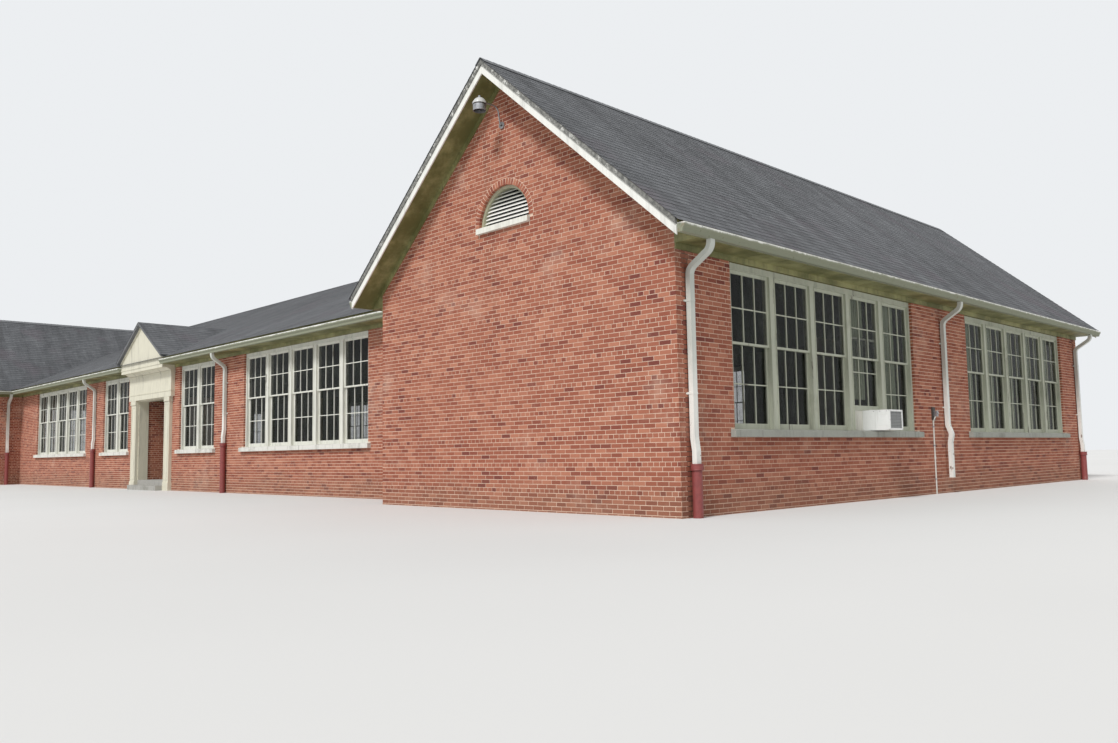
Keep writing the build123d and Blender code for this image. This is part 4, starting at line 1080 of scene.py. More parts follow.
def gable_face(side, end):
    """Face of one gable wall, with its peak under the roof and its vent."""
    s = settings("bricks")
    middle = side * RIDGE_X
    half = (SIDE_X - INNER_X) / 2 + s.proud * 0.8
    face = WallFace((middle - half, end * GABLE_Y), (middle + half, end * GABLE_Y), (0, end), UNDER_RIDGE)
    face.peak = UNDER_RIDGE
    sill_half = VENT[1].x - RIDGE_X
    face.openings.append((half - sill_half, half + sill_half, VENT[0].z, VENT_SPRING_Z))
    face.arch = (half, VENT_SPRING_Z, VENT_RADIUS + s.ring - s.joint)
    return face


def lay_walls():
    """The bricks of every outer wall, a piece for each wall."""
    holes = solids_of("window_frames") + solids_of("window_sills")
    for side, label in SIDES:
        outer = WallFace((side * SIDE_X, -GABLE_Y), (side * SIDE_X, GABLE_Y), (side, 0))
        brick_piece(f"bricks_{label}_side", [outer.open_for(holes)])
        for end, place in ENDS:
            brick_piece(f"bricks_{label}_{place}_gable", [gable_face(side, end)])
        starts = (side * PORCH_HALF, side * INNER_X)
        front = WallFace((min(starts), -HALL_Y), (max(starts), -HALL_Y), (0, -1))
        brick_piece(f"bricks_hall_front_{label}", [front.open_for(holes)])
        porch = WallFace(
            (side * PORCH_HALF, -HALL_Y + WALL), (side * PORCH_HALF, PORCH_BACK), (-side, 0),
            ENTRANCE[1].z, FLOOR_TOP,
        )
        brick_piece(f"bricks_porch_{label}", [porch])
        returns = [
            WallFace((side * INNER_X, start), (side * INNER_X, end), (-side, 0))
            for start, end in ((-GABLE_Y, -HALL_Y), (HALL_Y, GABLE_Y))
        ]
        brick_piece(f"bricks_{label}_returns", returns)
    rear = WallFace((-INNER_X, HALL_Y), (INNER_X, HALL_Y), (0, 1))
    brick_piece("bricks_hall_rear", [rear.open_for(holes)])


def lay_vent_rings():
    """Bricks set on edge around the gable vents, over a bed of mortar."""
    s = settings("bricks")
    radius = VENT_RADIUS + s.ring / 2 - 0.001
    number = round(math.pi * radius / s.course)
    width = math.pi * radius / number
    out = s.proud * 1.9
    depth = 0.0285
    centres, turns = [], []
    bed = Shape()
    for side in (-1, 1):
        for end in (-1, 1):
            for brick in range(number):
                angle = math.pi * (brick + 0.5) / number
                x = side * RIDGE_X + radius * math.cos(angle)
                z = VENT_SPRING_Z + radius * math.sin(angle)
                centres.append((x, end * (GABLE_Y + out - depth / 2), z))
                turns.append((0.0, math.pi / 2 - angle, 0.0))
            middle = Vector((side * RIDGE_X, end * (GABLE_Y + s.proud * 1.25), VENT_SPRING_Z))
            bed.half_ring(middle, VENT_RADIUS, VENT_RADIUS + s.ring + 0.002, (0.0, -end * 0.006, 0.0))
    sizes = [(width - s.joint, depth, s.ring)] * len(centres)
    seated(laid("vent_ring_bricks", centres, sizes, turns, s.wobble, s.seed + 3, "brick"), "brick")
    bed.piece("vent_ring_mortar", "mortar", "brick")


# Roofs


class Slope:
    """One face of a roof, measured down from its ridge."""

    def __init__(self, ridge, outward, slope, run):
        self.ridge = Vector(ridge)
        self.outward = Vector((*outward, 0.0))
        self.along = Vector((-outward[1], outward[0], 0.0))
        self.run = run
        self.angle = math.atan(slope)
        self.turn = math.atan2(outward[0], -outward[1])
        level, steep = math.cos(self.angle), math.sin(self.angle)
        self.down = self.outward * level - Vector(UP) * steep
        self.normal = self.outward * steep + Vector(UP) * level

    def point(self, u, distance, height):
        """A point by its place along the ridge, its distance down the face and its height off it."""
        return self.ridge + self.along * u + self.down * distance + self.normal * height


def shingle(name, face, reach, finish, *planes):
    """Shingle tabs of a slope, cut by planes, as a piece.

    The function reach gives the ends of a course for its distance from the ridge.
    """
    s = settings("roof")
    draw = random.Random(name)
    total = (face.run + s.overhang) / math.cos(face.angle)
    places, sizes = [], []
    for row in range(int(total / s.exposure) + 1):
        low = total - row * s.exposure
        tall = min(s.exposure + s.lap, low)
        if tall < s.lap:
            break
        u0, u1 = reach(low * math.cos(face.angle))
        shift = (row % 2) * s.tab / 2 + draw.uniform(-1, 1) * s.tab / 12
        for number in range(math.floor((u0 + shift) / s.tab), math.ceil((u1 + shift) / s.tab)):
            a = max(u0, number * s.tab - shift + s.slot / 2)
            b = min(u1, (number + 1) * s.tab - shift - s.slot / 2)
            if b - a < s.slot * 2:
                continue
            drop = draw.uniform(0, 1) * s.wobble * 4
            places.append(face.point((a + b) / 2, low - tall / 2 + drop, s.butt))
            sizes.append((b - a, tall, s.butt))
    turns = [(face.angle - s.butt / s.exposure, 0.0, face.turn)] * len(places)
    tabs = laid(name, places, sizes, turns, s.wobble, s.seed, finish)
    seated(trimmed(tabs, *planes) if planes else tabs, "shingles")


def valley(side, end):
    """A point and the level direction across one valley, away from the wing."""
    across = Vector((-side * HALL_EAVE_Y, -end * (EAVE_X - RIDGE_X), 0.0)).normalized()
    return Vector((side * RIDGE_X, 0.0, 0.0)), across


RAKE_LAP = 0.0065
VALLEY_SPARE = 0.2


def lay_roofs():
    """The shingles of every slope."""
    wing_run = EAVE_X - RIDGE_X
    spread = HALL_EAVE_Y / wing_run
    tip = RAKE_Y + RAKE_LAP
    for side, label in SIDES:
        ridge = (side * RIDGE_X, 0.0, RIDGE_Z)
        outer = Slope(ridge, (side, 0), WING_SLOPE, wing_run)
        shingle(f"shingles_{label}_outer", outer, lambda run: (-tip, tip), "wing_shingles")
        inner = Slope(ridge, (-side, 0), WING_SLOPE, wing_run)
        for end, place in ENDS:
            sign = inner.along.y * end

            def reach(run, sign=sign):
                return tuple(sorted((sign * max(0.0, run * spread - VALLEY_SPARE), sign * tip)))

            name = f"shingles_{label}_inner_{place}"
            shingle(name, inner, reach, "wing_shingles", valley(side, end))

    def hall_reach(run):
        half = RIDGE_X - run / spread + VALLEY_SPARE
        return -half, half

    for end, place in ENDS:
        face = Slope((0.0, 0.0, RIDGE_Z), (0, end), HALL_SLOPE, HALL_EAVE_Y)
        planes = [(point, -across) for point, across in (valley(side, end) for side in (-1, 1))]
        shingle(f"shingles_hall_{place}", face, hall_reach, "hall_shingles", *planes)
    lay_pediment_roof()


def lay_pediment_roof():
    low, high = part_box("pediment_roof")
    slope = (high.z - low.z - PEDIMENT_ROOF) / high.x
    front = low.y - 0.004
    for side, label in SIDES:
        face = Slope((0.0, 0.0, high.z), (side, 0), slope, high.x)

        def reach(run, sign=face.along.y):
            back = (high.z - slope * run - RIDGE_Z) / HALL_SLOPE
            return tuple(sorted((sign * front, sign * min(back + 0.05, high.y))))

        shingle(f"shingles_pediment_{label}", face, reach, "wing_shingles")


def folded_cap(name, start, step, slope, width):
    """One shingle folded over a ridge: its butt end lies on the one before it."""
    s = settings("roof")
    along = Vector(step).normalized()
    across = Vector((along.y, -along.x, 0.0))
    length = Vector(step).length + 0.03
    fold = 0.005
    offsets = (-width, -width / 2, -fold, fold, width / 2, width)
    rows = []
    for place, lift in ((0.0, s.butt * 1.5), (length, 0.0)):
        base = Vector(start) + along * place + Vector((0.0, 0.0, s.butt * 2.2 + lift))
        for thick in (s.butt * 1.25, 0.0):
            rows.append([
                base + across * offset + Vector((0.0, 0.0, thick - slope * max(abs(offset) - fold, 0.0)))
                for offset in offsets
            ])
    shape = Shape()
    shape.loft([rows[0] + rows[1][::-1], rows[2] + rows[3][::-1]])
    return shape.object(name, "wing_shingles")


def cap_ridges():
    """Folded shingles along the ridges, which stand for the plain ridge caps."""
    exposure = settings("roof").exposure
    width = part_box("ridge_caps")[1].x - RIDGE_X
    tip = RAKE_Y + RAKE_LAP
    runs = [
        ("ridge_right", (RIDGE_X, -tip, RIDGE_Z), (0, exposure, 0), WING_SLOPE, 2 * tip),
        ("ridge_left", (-RIDGE_X, -tip, RIDGE_Z), (0, exposure, 0), WING_SLOPE, 2 * tip),
        ("ridge_hall", (-RIDGE_X, 0, RIDGE_Z), (exposure, 0, 0), HALL_SLOPE, 2 * RIDGE_X),
    ]
    for name, start, step, slope, reach in runs:
        obj = folded_cap(name, start, step, slope, width)
        copies = int((reach - exposure) / exposure)
        material = finish_named("hall_shingles" if step[0] else "wing_shingles")
        values = {"Count": copies, "Step": step, "Seed": settings("roof").seed, "Material": material}
        seated(grown(obj, "row", values), "shingles", "ridge_caps")


# Small fittings


def even_turns(number):
    return [2 * math.pi * i / number for i in range(number)]


def spokes_around(axis, number):
    """Directions at even turns around an axis, square to it."""
    side = axis.orthogonal().normalized()
    other = axis.cross(side)
    return [side * math.cos(t) + other * math.sin(t) for t in even_turns(number)]


class Shape:
    """A mesh of closed parts, each added in the building's own frame."""

    def __init__(self):
        self.mesh = bmesh.new()

    def block(self, one, other, edge=0.0):
        """A block between two corners, with its edges rounded a little."""
        low, high = (Vector(ends) for ends in zip(*map(sorted, zip(one, other))))
        size = high - low
        middle = (high + low) / 2
        made = bmesh.ops.create_cube(self.mesh, size=1.0)["verts"]
        for vert in made:
            vert.co = Vector(part * scale for part, scale in zip(vert.co, size)) + middle
        if edge:
            edges = list(dict.fromkeys(one for vert in made for one in vert.link_edges))
            bmesh.ops.bevel(self.mesh, geom=edges, offset=edge, segments=2, profile=0.5, affect="EDGES")
        return self

    def loft(self, rings, closed_ends=True):
        """Skins rings of points in turn; a ring of one point closes to a tip."""
        rows = [[self.mesh.verts.new(point) for point in ring] for ring in rings]
        for lower, upper in zip(rows, rows[1:]):
            number = max(len(lower), len(upper))
            for i in range(number):
                j = (i + 1) % number
                corners = [row[k % len(row)] for row, k in ((lower, i), (lower, j), (upper, j), (upper, i))]
                self.mesh.faces.new(list(dict.fromkeys(corners)))
        if closed_ends:
            for row in (rows[0], rows[-1]):
                if len(row) > 2:
                    self.mesh.faces.new(row)
        return self

    def prism(self, outline, push):
        """A flat outline pushed along a direction."""
        return self.loft([outline, [Vector(point) + Vector(push) for point in outline]])

    def turned(self, profile, base, axis, segments=20):
        """A profile of (radius, height) pairs turned around an axis."""
        axis = Vector(axis)
        spokes = spokes_around(axis, segments)
        rings = []
        for radius, height in profile:
            centre = Vector(base) + axis * height
            rings.append([centre + spoke * radius for spoke in spokes] if radius else [centre])
        return self.loft(rings)

    def half_ring(self, middle, inner, outer, push, segments=40):
        """A flat half ring over a level line, facing along Y."""
        turns = [math.pi * i / segments for i in range(segments + 1)]
        rims = [
            [middle + Vector((math.cos(t), 0.0, math.sin(t))) * radius for t in turns]
            for radius in (inner, outer)
        ]
        return self.prism(rims[0] + rims[1][::-1], push)

    def tube(self, path, radius, sides=10):
        """A round bar along a few points."""
        path = [Vector(point) for point in path]
        turns = even_turns(sides)
        rings = []
        for i, point in enumerate(path):
            ahead = path[min(i + 1, len(path) - 1)] - path[max(i - 1, 0)]
            ahead.normalize()
            side = ahead.cross(Vector(RIGHT if abs(ahead.x) < 0.9 else REAR))
            side.normalize()
            other = ahead.cross(side)
            rings.append([point + (side * math.cos(t) + other * math.sin(t)) * radius for t in turns])
        return self.loft(rings)

    def hoop(self, middle, axis, radius, thick, segments=16, sides=6):
        """A round ring."""
        axis = Vector(axis)
        turns = even_turns(sides)
        rows = []
        for spoke in spokes_around(axis, segments):
            rim = [
                Vector(middle) + spoke * (radius + thick * math.cos(t)) + axis * thick * math.sin(t)
                for t in turns
            ]
            rows.append([self.mesh.verts.new(point) for point in rim])
        for i, row in enumerate(rows):
            after = rows[(i + 1) % segments]
            for j in range(sides):
                k = (j + 1) % sides
                self.mesh.faces.new((row[j], row[k], after[k], after[j]))
        return self

    def screw(self, place, facing, radius=0.004):
        """The domed head of a screw."""
        profile = [(radius, 0.0), (radius, radius * 0.3), (radius * 0.6, radius * 0.6), (0.0, radius * 0.7)]
        return self.turned(profile, place, facing, 10)

    def object(self, name, finish):
        mesh = bpy.data.meshes.new(name)
        bmesh.ops.recalc_face_normals(self.mesh, faces=self.mesh.faces[:])
        self.mesh.to_mesh(mesh)
        self.mesh.free()
        mesh.materials.append(finish_named(finish))
        return new_object(name, mesh)

    def piece(self, name, finish, slot, *replaced):
        return seated(self.object(name, finish), slot, *replaced)


def row_piece(name, shape, finish, slot, number, step):
    """Copies of a shape in a row, as one piece."""
    values = {"Count": number, "Step": step, "Seed": 1, "Material": finish_named(finish)}
    return seated(grown(shape.object(name, finish), "row", values), slot)


def set_out(name, shape, finish, slot, places, turns):
    """Copies of a shape made at the origin, at every place, as one piece."""
    one = shape.object(name + "_one", finish)
    obj = point_object(name, places, turn=turns)
    grown(obj, "set_out", {"Piece": one, "Seed": 1, "Material": finish_named(finish)})
    bpy.data.objects.remove(one)
    return seated(obj, slot)


# Windows


# Height of a sill's top over its foot, widths of a sash's members, and the beads' own draws
SILL_RISE = 0.06
SASH_STILE = 0.026
SASH_MEETING = 0.018
SASH_FOOT = 0.044
BEAD_WOBBLE = 0.0002
BEAD_SEED = 3


def sash_points(node, foot, head):
    """Middles of the lights of a row of sashes, with the turn that faces each wall."""
    places, turns = [], []
    for low, high in solids_of(node):
        middle = (low + high) / 2
        middle.z = (low.z + foot + high.z - head) / 2
        places.append(middle)
        turns.append((0.0, 0.0, math.pi / 2 if high.y - low.y > high.x - low.x else 0.0))
    low, high = solids_of(node)[0]
    width = max(high.x - low.x, high.y - low.y) - 2 * SASH_STILE
    return places, turns, width, high.z - low.z - foot - head


def bar_sashes():
    """Bars that part every sash into panes."""
    s = settings("windows")
    for node, foot, head in (
        ("upper_sashes", SASH_MEETING, SASH_STILE),
        ("lower_sashes", SASH_FOOT, SASH_MEETING),
    ):
        places, turns, width, height = sash_points(node, foot, head)
        obj = point_object(node.replace("sashes", "bars"), places, turn=turns)
        values = {
            "Width": width, "Height": height, "Columns": s.columns, "Rows": s.rows,
            "Bar": s.bar, "Depth": s.bar_depth, "Material": finish_named("sash"),
        }
        seated(grown(obj, "bars", values), "window_paint")


def bead_windows():
    """Stop beads around every unit, on the face of its frame."""
    s = settings("windows")
    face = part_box("window_frames")[1]
    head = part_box("upper_sashes")[1].z
    centres, sizes, turns = [], [], []
    for low, high in solids_of("upper_sashes"):
        middle = (low + high) / 2
        on_side = high.y - low.y > high.x - low.x
        half = max(high.x - low.x, high.y - low.y) / 2 + s.bead / 2
        foot = SILL_FOOT + SILL_RISE
        upright = (foot + head) / 2
        for shift, z, width, height in (
            (-half, upright, s.bead, head - foot), (half, upright, s.bead, head - foot),
            (0.0, head + s.bead / 2, 2 * half + s.bead, s.bead),
        ):
            if on_side:
                out = math.copysign(face.x + s.bead_out / 2 - 0.001, middle.x)
                centres.append((out, middle.y + shift, z))
            else:
                out = math.copysign(face.y + s.bead_out / 2 - 0.001, middle.y)
                centres.append((middle.x + shift, out, z))
            sizes.append((width, s.bead_out + 0.002, height))
            turns.append((0.0, 0.0, math.pi / 2 if on_side else 0.0))
    beads = laid("window_beads", centres, sizes, turns, BEAD_WOBBLE, BEAD_SEED, "window_frame")
    seated(beads, "window_paint")


# Curtains


# Points across one fold and down the cloth, the room beside a curtain, and how full its heading is
FOLD_POINTS = 14
CLOTH_ROWS = 24
CLOTH_ROOM = 0.001
HEADING = 0.62


def curtain_rows(low, high, s, draw):
    """Points of a gathered curtain, row by row from its heading to its foot."""
    across = s.folds * FOLD_POINTS
    middle = (low.x + high.x) / 2
    width = high.y - low.y - 2 * CLOTH_ROOM
    height = high.z - low.z
    pitch = width / s.folds
    deep = [draw.uniform(0.55, 1.0) for _ in range(s.folds + 1)]
    sway = [draw.uniform(-math.pi, math.pi) for _ in range(3)]
    rows = []
    for j in range(CLOTH_ROWS + 1):
        v = j / CLOTH_ROWS
        gathered = HEADING + (1.0 - HEADING) * v
        row = []
        for i in range(across + 1):
            u = i / across
            turn = 2 * math.pi * s.folds * u
            turn += v * math.sin(2 * math.pi * 1.3 * u + sway[0]) * 0.9
            turn += math.sin(2 * math.pi * 1.7 * v + sway[1]) * math.sin(math.pi * u) * 0.5
            fold = min(int(u * s.folds), s.folds - 1)
            within = u * s.folds - fold
            depth = deep[fold] * (1 - within) + deep[fold + 1] * within
            out = s.depth * gathered * depth * math.sin(turn)
            out += s.depth * 0.10 * math.sin(3 * turn + sway[2]) * v
            slide = pitch * 0.07 * math.sin(2 * turn)
            start, end = low.y + CLOTH_ROOM, high.y - CLOTH_ROOM
            y = min(max(start + u * width + slide, start), end)
            row.append(Vector((middle + out, y, high.z - v * height)))
        rows.append(row)
    return rows


def hang_curtains():
    """Gathered curtains with their rings, one piece for each side of a window."""
    s = settings("curtains")
    rod_low, rod_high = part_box("curtain_rods")
    rod_z = (rod_low.z + rod_high.z) / 2
    panels = sorted(solids_of("curtains"), key=lambda box: box[0].y)
    for number, (low, high) in enumerate(panels, 1):
        draw = random.Random(s.seed + number)
        rows = curtain_rows(low, high, s, draw)
        columns = len(rows[0])
        corners = [j * columns + i for j in range(len(rows) - 1) for i in range(columns - 1)]
        faces = [(i, i + columns, i + columns + 1, i + 1) for i in corners]
        points = [point for row in rows for point in row]
        curtain = new_object(f"curtain_{number}", mesh_of(f"curtain_{number}", points, faces))
        middle = (low.x + high.x) / 2
        # How far each point stands out, which the cloth uses for its painted shade in the folds' hollows.
        fold = curtain.data.attributes.new("fold", "FLOAT", "POINT")
        fold.data.foreach_set("value", [0.5 + (point.x - middle) / (2 * s.depth) for point in points])
        curtain.data.materials.append(finish_named("cloth"))
        thick = curtain.modifiers.new("cloth", "SOLIDIFY")
        thick.thickness = s.cloth
        thick.offset = 0.0
        pitch = (high.y - low.y) / s.folds
        ring = Shape().hoop((middle, low.y + pitch / 2, rod_z - 0.0015), REAR, 0.0085, 0.0011)
        name = f"curtain_rings_{number}"
        rings = row_piece(name, ring, "zinc", "galvanised", s.folds, (0.0, pitch, 0.0))
        seated(curtain, "curtain_cloth", "curtains")


# Fittings on the walls


# The window unit's case on its filler boards
CASE_SHIFT = 0.08
CASE_HALF = 0.125
CASE_BORDER = 0.016
CASE_RECESS = 0.012
CASE_VENT = (11.062, 11.0655)
CASE_SCREWS = (11.04, 11.10, 11.16)
FILLER_FACE = 0.0645


def unit_case():
    """Corners of the window unit, and the two ends of its case along Y."""
    low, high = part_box("air_conditioner")
    middle = (low.y + high.y) / 2 + CASE_SHIFT
    return low, high, middle - CASE_HALF, middle + CASE_HALF


def fit_grille():
    """Coil, fins and bars in the front of the case."""
    low, high, y0, y1 = unit_case()
    back = high.x - CASE_RECESS
    y0, y1 = y0 + CASE_BORDER, y1 - CASE_BORDER
    foot, head = low.z + CASE_BORDER, high.z - CASE_BORDER
    coil = Shape().block((back, y0, foot), (back + 0.0008, y1, head))
    coil.piece("unit_coil", "dark_metal", "galvanised")
    number = int((y1 - y0) / settings("fittings").fin)
    step = (y1 - y0) / number
    first = y0 + step / 2
    fin = Shape().block((back, first - 0.0011, foot), (high.x - 0.004, first + 0.0011, head))
    row_piece("unit_grille_fins", fin, "grille", "galvanised", number, (0.0, step, 0.0))
    lowest = foot + 0.002
    bar = Shape().block((high.x - 0.005, y0, lowest), (high.x - 0.0022, y1, lowest + 0.003))
    row_piece("unit_grille_bars", bar, "grille", "galvanised", 6, (0.0, 0.0, (head - foot - 0.007) / 5))


def fit_case():
    """Vents, rim and screws of the case."""
    low, high, y0, y1 = unit_case()
    slot_foot = low.z + 0.045
    for side, label in ENDS:
        face = y0 if side < 0 else y1
        back_corner = (CASE_VENT[0], face - side * 0.001, slot_foot)
        vent = Shape().block(back_corner, (CASE_VENT[1], face + side * 0.0028, slot_foot + 0.085), 0.0007)
        row_piece(f"unit_vents_{label}", vent, "case", "case_enamel", 12, (0.0092, 0.0, 0.0))
    rim = Shape()
    for z in (low.z, high.z - 0.004):
        rim.block((high.x - 0.016, y0 - 0.0012, z), (high.x - 0.001, y1 + 0.0012, z + 0.004), 0.0008)
    for y in (y0 - 0.0012, y1 - 0.0028):
        rim.block((high.x - 0.016, y, low.z), (high.x - 0.001, y + 0.004, high.z), 0.0008)
    rim.block((SIDE_X, y0, high.z - 0.001), (SIDE_X + 0.012, y1, high.z + 0.004), 0.001)
    rim.piece("unit_case_rim", "case", "case_enamel")
    screws = Shape()
    for y in (y0 + 0.008, y1 - 0.008):
        for z in (low.z + 0.008, high.z - 0.008, (low.z + high.z) / 2):
            screws.screw((high.x, y, z), RIGHT, 0.003)
    for x in CASE_SCREWS:
        for side, face in ((-1, y0), (1, y1)):
            screws.screw((x, face, high.z - 0.012), (0.0, side, 0.0), 0.003)
    screws.piece("unit_screws", "dark_metal", "galvanised")


def pleat_fillers():
    """Pleated panels on both sides of the case."""
    low, high, y0, y1 = unit_case()
    x = SIDE_X - FILLER_FACE
    for label, a, b in (("front", low.y, y0), ("rear", y1, high.y)):
        number = max(2, round((b - a) / settings("fittings").pleat))
        step = (b - a) / number
        pleat = [(x - 0.001, a, low.z), (x - 0.001, a + step, low.z), (x + 0.003, a + step / 2, low.z)]
        fold = Shape().prism(pleat, (0.0, 0.0, high.z - low.z))
        row_piece(f"unit_pleats_{label}", fold, "pleat", "case_enamel", number, (0.0, step, 0.0))


def fit_meter():
    """Lid and screws of the meter box, and the screws of its board."""
    low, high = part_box("meter_box")
    board_low, board_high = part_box("meter_board")
    lid = Shape()
    edge = Vector((0.0, 0.0016, 0.0016))
    lid.block((high.x - 0.006, *(low - edge).yz), (high.x + 0.0022, *(high + edge).yz), 0.001)
    hasp = (high.x, high.y - 0.010, low.z + 0.012)
    lid.block(hasp, (high.x + 0.0052, high.y - 0.004, low.z + 0.026), 0.001)
    middle_y, middle_z = (low.y + high.y) / 2, (low.z + high.z) / 2
    lid.turned(
        [(0.011, 0.0), (0.011, 0.005), (0.0092, 0.0085), (0.0, 0.0095)],
        (high.x + 0.002, middle_y - 0.001, middle_z + 0.008), RIGHT, 20,
    )
    lid.piece("meter_lid", "pale_metal", "galvanised")
    fixings = Shape()
    for y in (board_low.y + 0.009, board_high.y - 0.009):
        for z in (board_low.z + 0.012, board_high.z - 0.012):
            fixings.screw((board_high.x, y, z), RIGHT, 0.0032)
    for z in (low.z - 0.010, high.z + 0.002):
        lug = (board_high.x + 0.0016, middle_y + 0.008, z + 0.008)
        fixings.block((board_high.x, middle_y - 0.008, z), lug, 0.0006)
    fixings.piece("meter_fixings", "dark_metal", "galvanised")


# Heights over the ground of what is fixed to the meter's pipe
PIPE_COUPLING = 0.34
PIPE_STRAPS = (0.14, 0.47, 0.655)


def fit_conduit():
    """Couplings, bent end and straps of the meter's pipe."""
    s = settings("fittings")
    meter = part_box("meter_box")[0]
    board_low, board_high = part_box("meter_board")
    low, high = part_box("conduit")
    radius = (high.y - low.y) / 2
    middle = ((low.x + high.x) / 2, (low.y + high.y) / 2)
    coupling = Shape()
    wide = radius + 0.0028
    for z, tall in ((high.z - 0.024, 0.024), (PIPE_COUPLING, 0.034)):
        profile = [(radius * 0.98, 0.0), (wide, 0.0015), (wide, tall - 0.0015), (radius * 0.98, tall)]
        coupling.turned(profile, (*middle, z), UP, 20)
    bent = [
        (*middle, board_low.z - 0.002),
        (board_high.x + 0.006, middle[1], board_low.z + 0.010),
        (board_high.x + 0.012, middle[1] + 0.012, meter.z + 0.003),
    ]
    coupling.tube(bent, radius * 0.8)
    coupling.piece("conduit_couplings", "conduit", "gutter_metal")
    straps = Shape()
    half = radius + 0.0022
    for z in PIPE_STRAPS:
        outline = [
            (-0.019, 0.0), (-0.019, 0.0014), (-half, 0.0014), (-half * 0.75, 0.0135),
            (-half * 0.35, 0.0158), (half * 0.35, 0.0158), (half * 0.75, 0.0135), (half, 0.0014),
            (0.019, 0.0014), (0.019, 0.0),
        ]
        points = [(SIDE_X + out, middle[1] + along, z) for along, out in outline]
        straps.prism(points, (0.0, 0.0, s.strap * 0.75))
        for along in (-0.0145, 0.0145):
            place = (SIDE_X + 0.0014, middle[1] + along, z + s.strap * 0.375)
            straps.screw(place, RIGHT, 0.0026)
    straps.piece("conduit_straps", "zinc", "galvanised")


def fit_lamp():
    """Domed cover, rolled rim, band, nuts and screws of the gable lamp."""
    low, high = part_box("lamp_head")
    middle = (low + high) / 2
    radius = (high.x - low.x) / 2
    pipe_low, pipe_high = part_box("lamp_arm")
    plate_z = pipe_low.z + 0.03
    cap_z = pipe_high.z - 0.006
    rims = Shape()
    rims.hoop((*middle.xy, low.z + 0.0018), UP, radius - 0.0008, 0.0018, 40, 8)
    rims.hoop((*middle.xy, high.z - 0.0165), UP, 0.0115, 0.0014, 24, 8)
    rims.piece("lamp_rims", "zinc", "galvanised")
    dome = [
        (0.0, 0.0525), (0.0285, 0.0485), (0.0405, 0.0388), (0.0575, 0.0010),
        (0.0600, 0.0), (0.0612, 0.0030), (0.0572, 0.0165), (0.0500, 0.0285),
        (0.0415, 0.0402), (0.0290, 0.0500), (0.0140, 0.0538), (0.0, 0.0543),
    ]
    cover = Shape().turned(dome, (*middle.xy, cap_z - 0.0282), UP, 48)
    cover.piece("lamp_dome", "lamp_cap", "galvanised")
    band = Shape()
    wide = radius + 0.0006
    profile = [(radius - 0.001, 0.0), (wide, 0.001), (wide, 0.007), (radius - 0.001, 0.008)]
    band.turned(profile, (*middle.xy, cap_z - 0.0365), UP, 40)
    nut = [(0.0105, 0.0), (0.0105, 0.009), (0.0072, 0.011)]
    band.turned(nut, (middle.x, middle.y + 0.04, cap_z), REAR, 6)
    wall = -GABLE_Y - 0.012
    bolts = 0.021
    band.turned(nut, (middle.x, wall, plate_z), FRONT, 6)
    for turn in (math.radians(angle) for angle in (90, 210, 330)):
        place = (middle.x + bolts * math.cos(turn), wall, plate_z + bolts * math.sin(turn))
        band.screw(place, FRONT, 0.0035)
    band.piece("lamp_band_and_nuts", "dark_metal", "galvanised")


# Gutters and downspouts


# Outline of a gutter (out, up), the width of a seam's lap, the height of the spikes over the gutter's
# foot, and the room that the hall's gutters leave for those of the returns
GUTTER_LINE = [
    (0.0, -0.0009), (0.0426, -0.0009), (0.0458, 0.0216), (0.0610, 0.0416), (0.0610, 0.0648),
    (0.0572, 0.0648), (0.0572, 0.0640), (0.0600, 0.0640), (0.0600, 0.0420), (0.0450, 0.0220),
    (0.0420, 0.0), (0.0, 0.0),
]
SEAM_WIDTH = 0.03
SPIKE_RISE = 0.0575
CORNER = 0.0603


def gutter_runs():
    """Start, direction, outward direction and length of every gutter, at its back and foot."""
    low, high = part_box("gutters")
    z = low.z
    back = high.x - (high.z - low.z) + 0.004
    hall_back = HALL_Y + back - SIDE_X
    inner_back = INNER_X - (back - SIDE_X)
    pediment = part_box("pediment_board")[1].x
    hall_end = inner_back - CORNER
    runs = []
    for side in (1, -1):
        runs.append(((side * back, -RAKE_TIP, z), (0, 1), (side, 0), 2 * RAKE_TIP))
        for end in (1, -1):
            start = (side * inner_back, end * RAKE_TIP, z)
            runs.append((start, (0, -end), (-side, 0), RAKE_TIP - hall_back))
        start = (side * pediment, -hall_back, z)
        runs.append((start, (side, 0), (0, -1), hall_end - pediment))
    runs.append(((-hall_end, hall_back, z), (1, 0), (0, 1), 2 * hall_end))
    return runs


def fit_gutters():
    """Seams where lengths of gutter lap, and the spikes that hold them."""
    s = settings("fittings")
    seams = Shape()
    places, turns = [], []
    for start, along, outward, reach in gutter_runs():
        start = Vector(start)
        along = Vector((*along, 0.0))
        outward = Vector((*outward, 0.0))
        number = max(1, round(reach / s.seam))
        for seam in range(1, number):
            foot = start + along * (reach * seam / number - SEAM_WIDTH / 2)
            outline = [foot + outward * out + Vector((0.0, 0.0, up)) for out, up in GUTTER_LINE]
            seams.prism(outline, along * SEAM_WIDTH)
        number = max(1, int(reach / s.spike))
        for step in range(number):
            along_run = along * (reach * (step + 0.5) / number)
            places.append(start + along_run + Vector((0.0, 0.0, SPIKE_RISE)))
            turns.append((0.0, 0.0, math.atan2(outward.y, outward.x)))
    seams.piece("gutter_seams", "gutter", "gutter_metal")
    spike = Shape()
    spike.turned([(0.0018, 0.0), (0.0018, 0.060)], (0.0, 0.0, 0.0), RIGHT, 6)
    spike.turned([(0.0042, 0.0), (0.0042, 0.0012), (0.0, 0.0024)], (0.0598, 0.0, 0.0), RIGHT, 8)
    set_out("gutter_spikes", spike, "pale_metal", "gutter_metal", places, turns)


# Heights of the straps: the upper one, and the lower one of a spout that ends high or low
STRAP_HIGH = 1.50
STRAP_LOW = (1.08, 0.85)


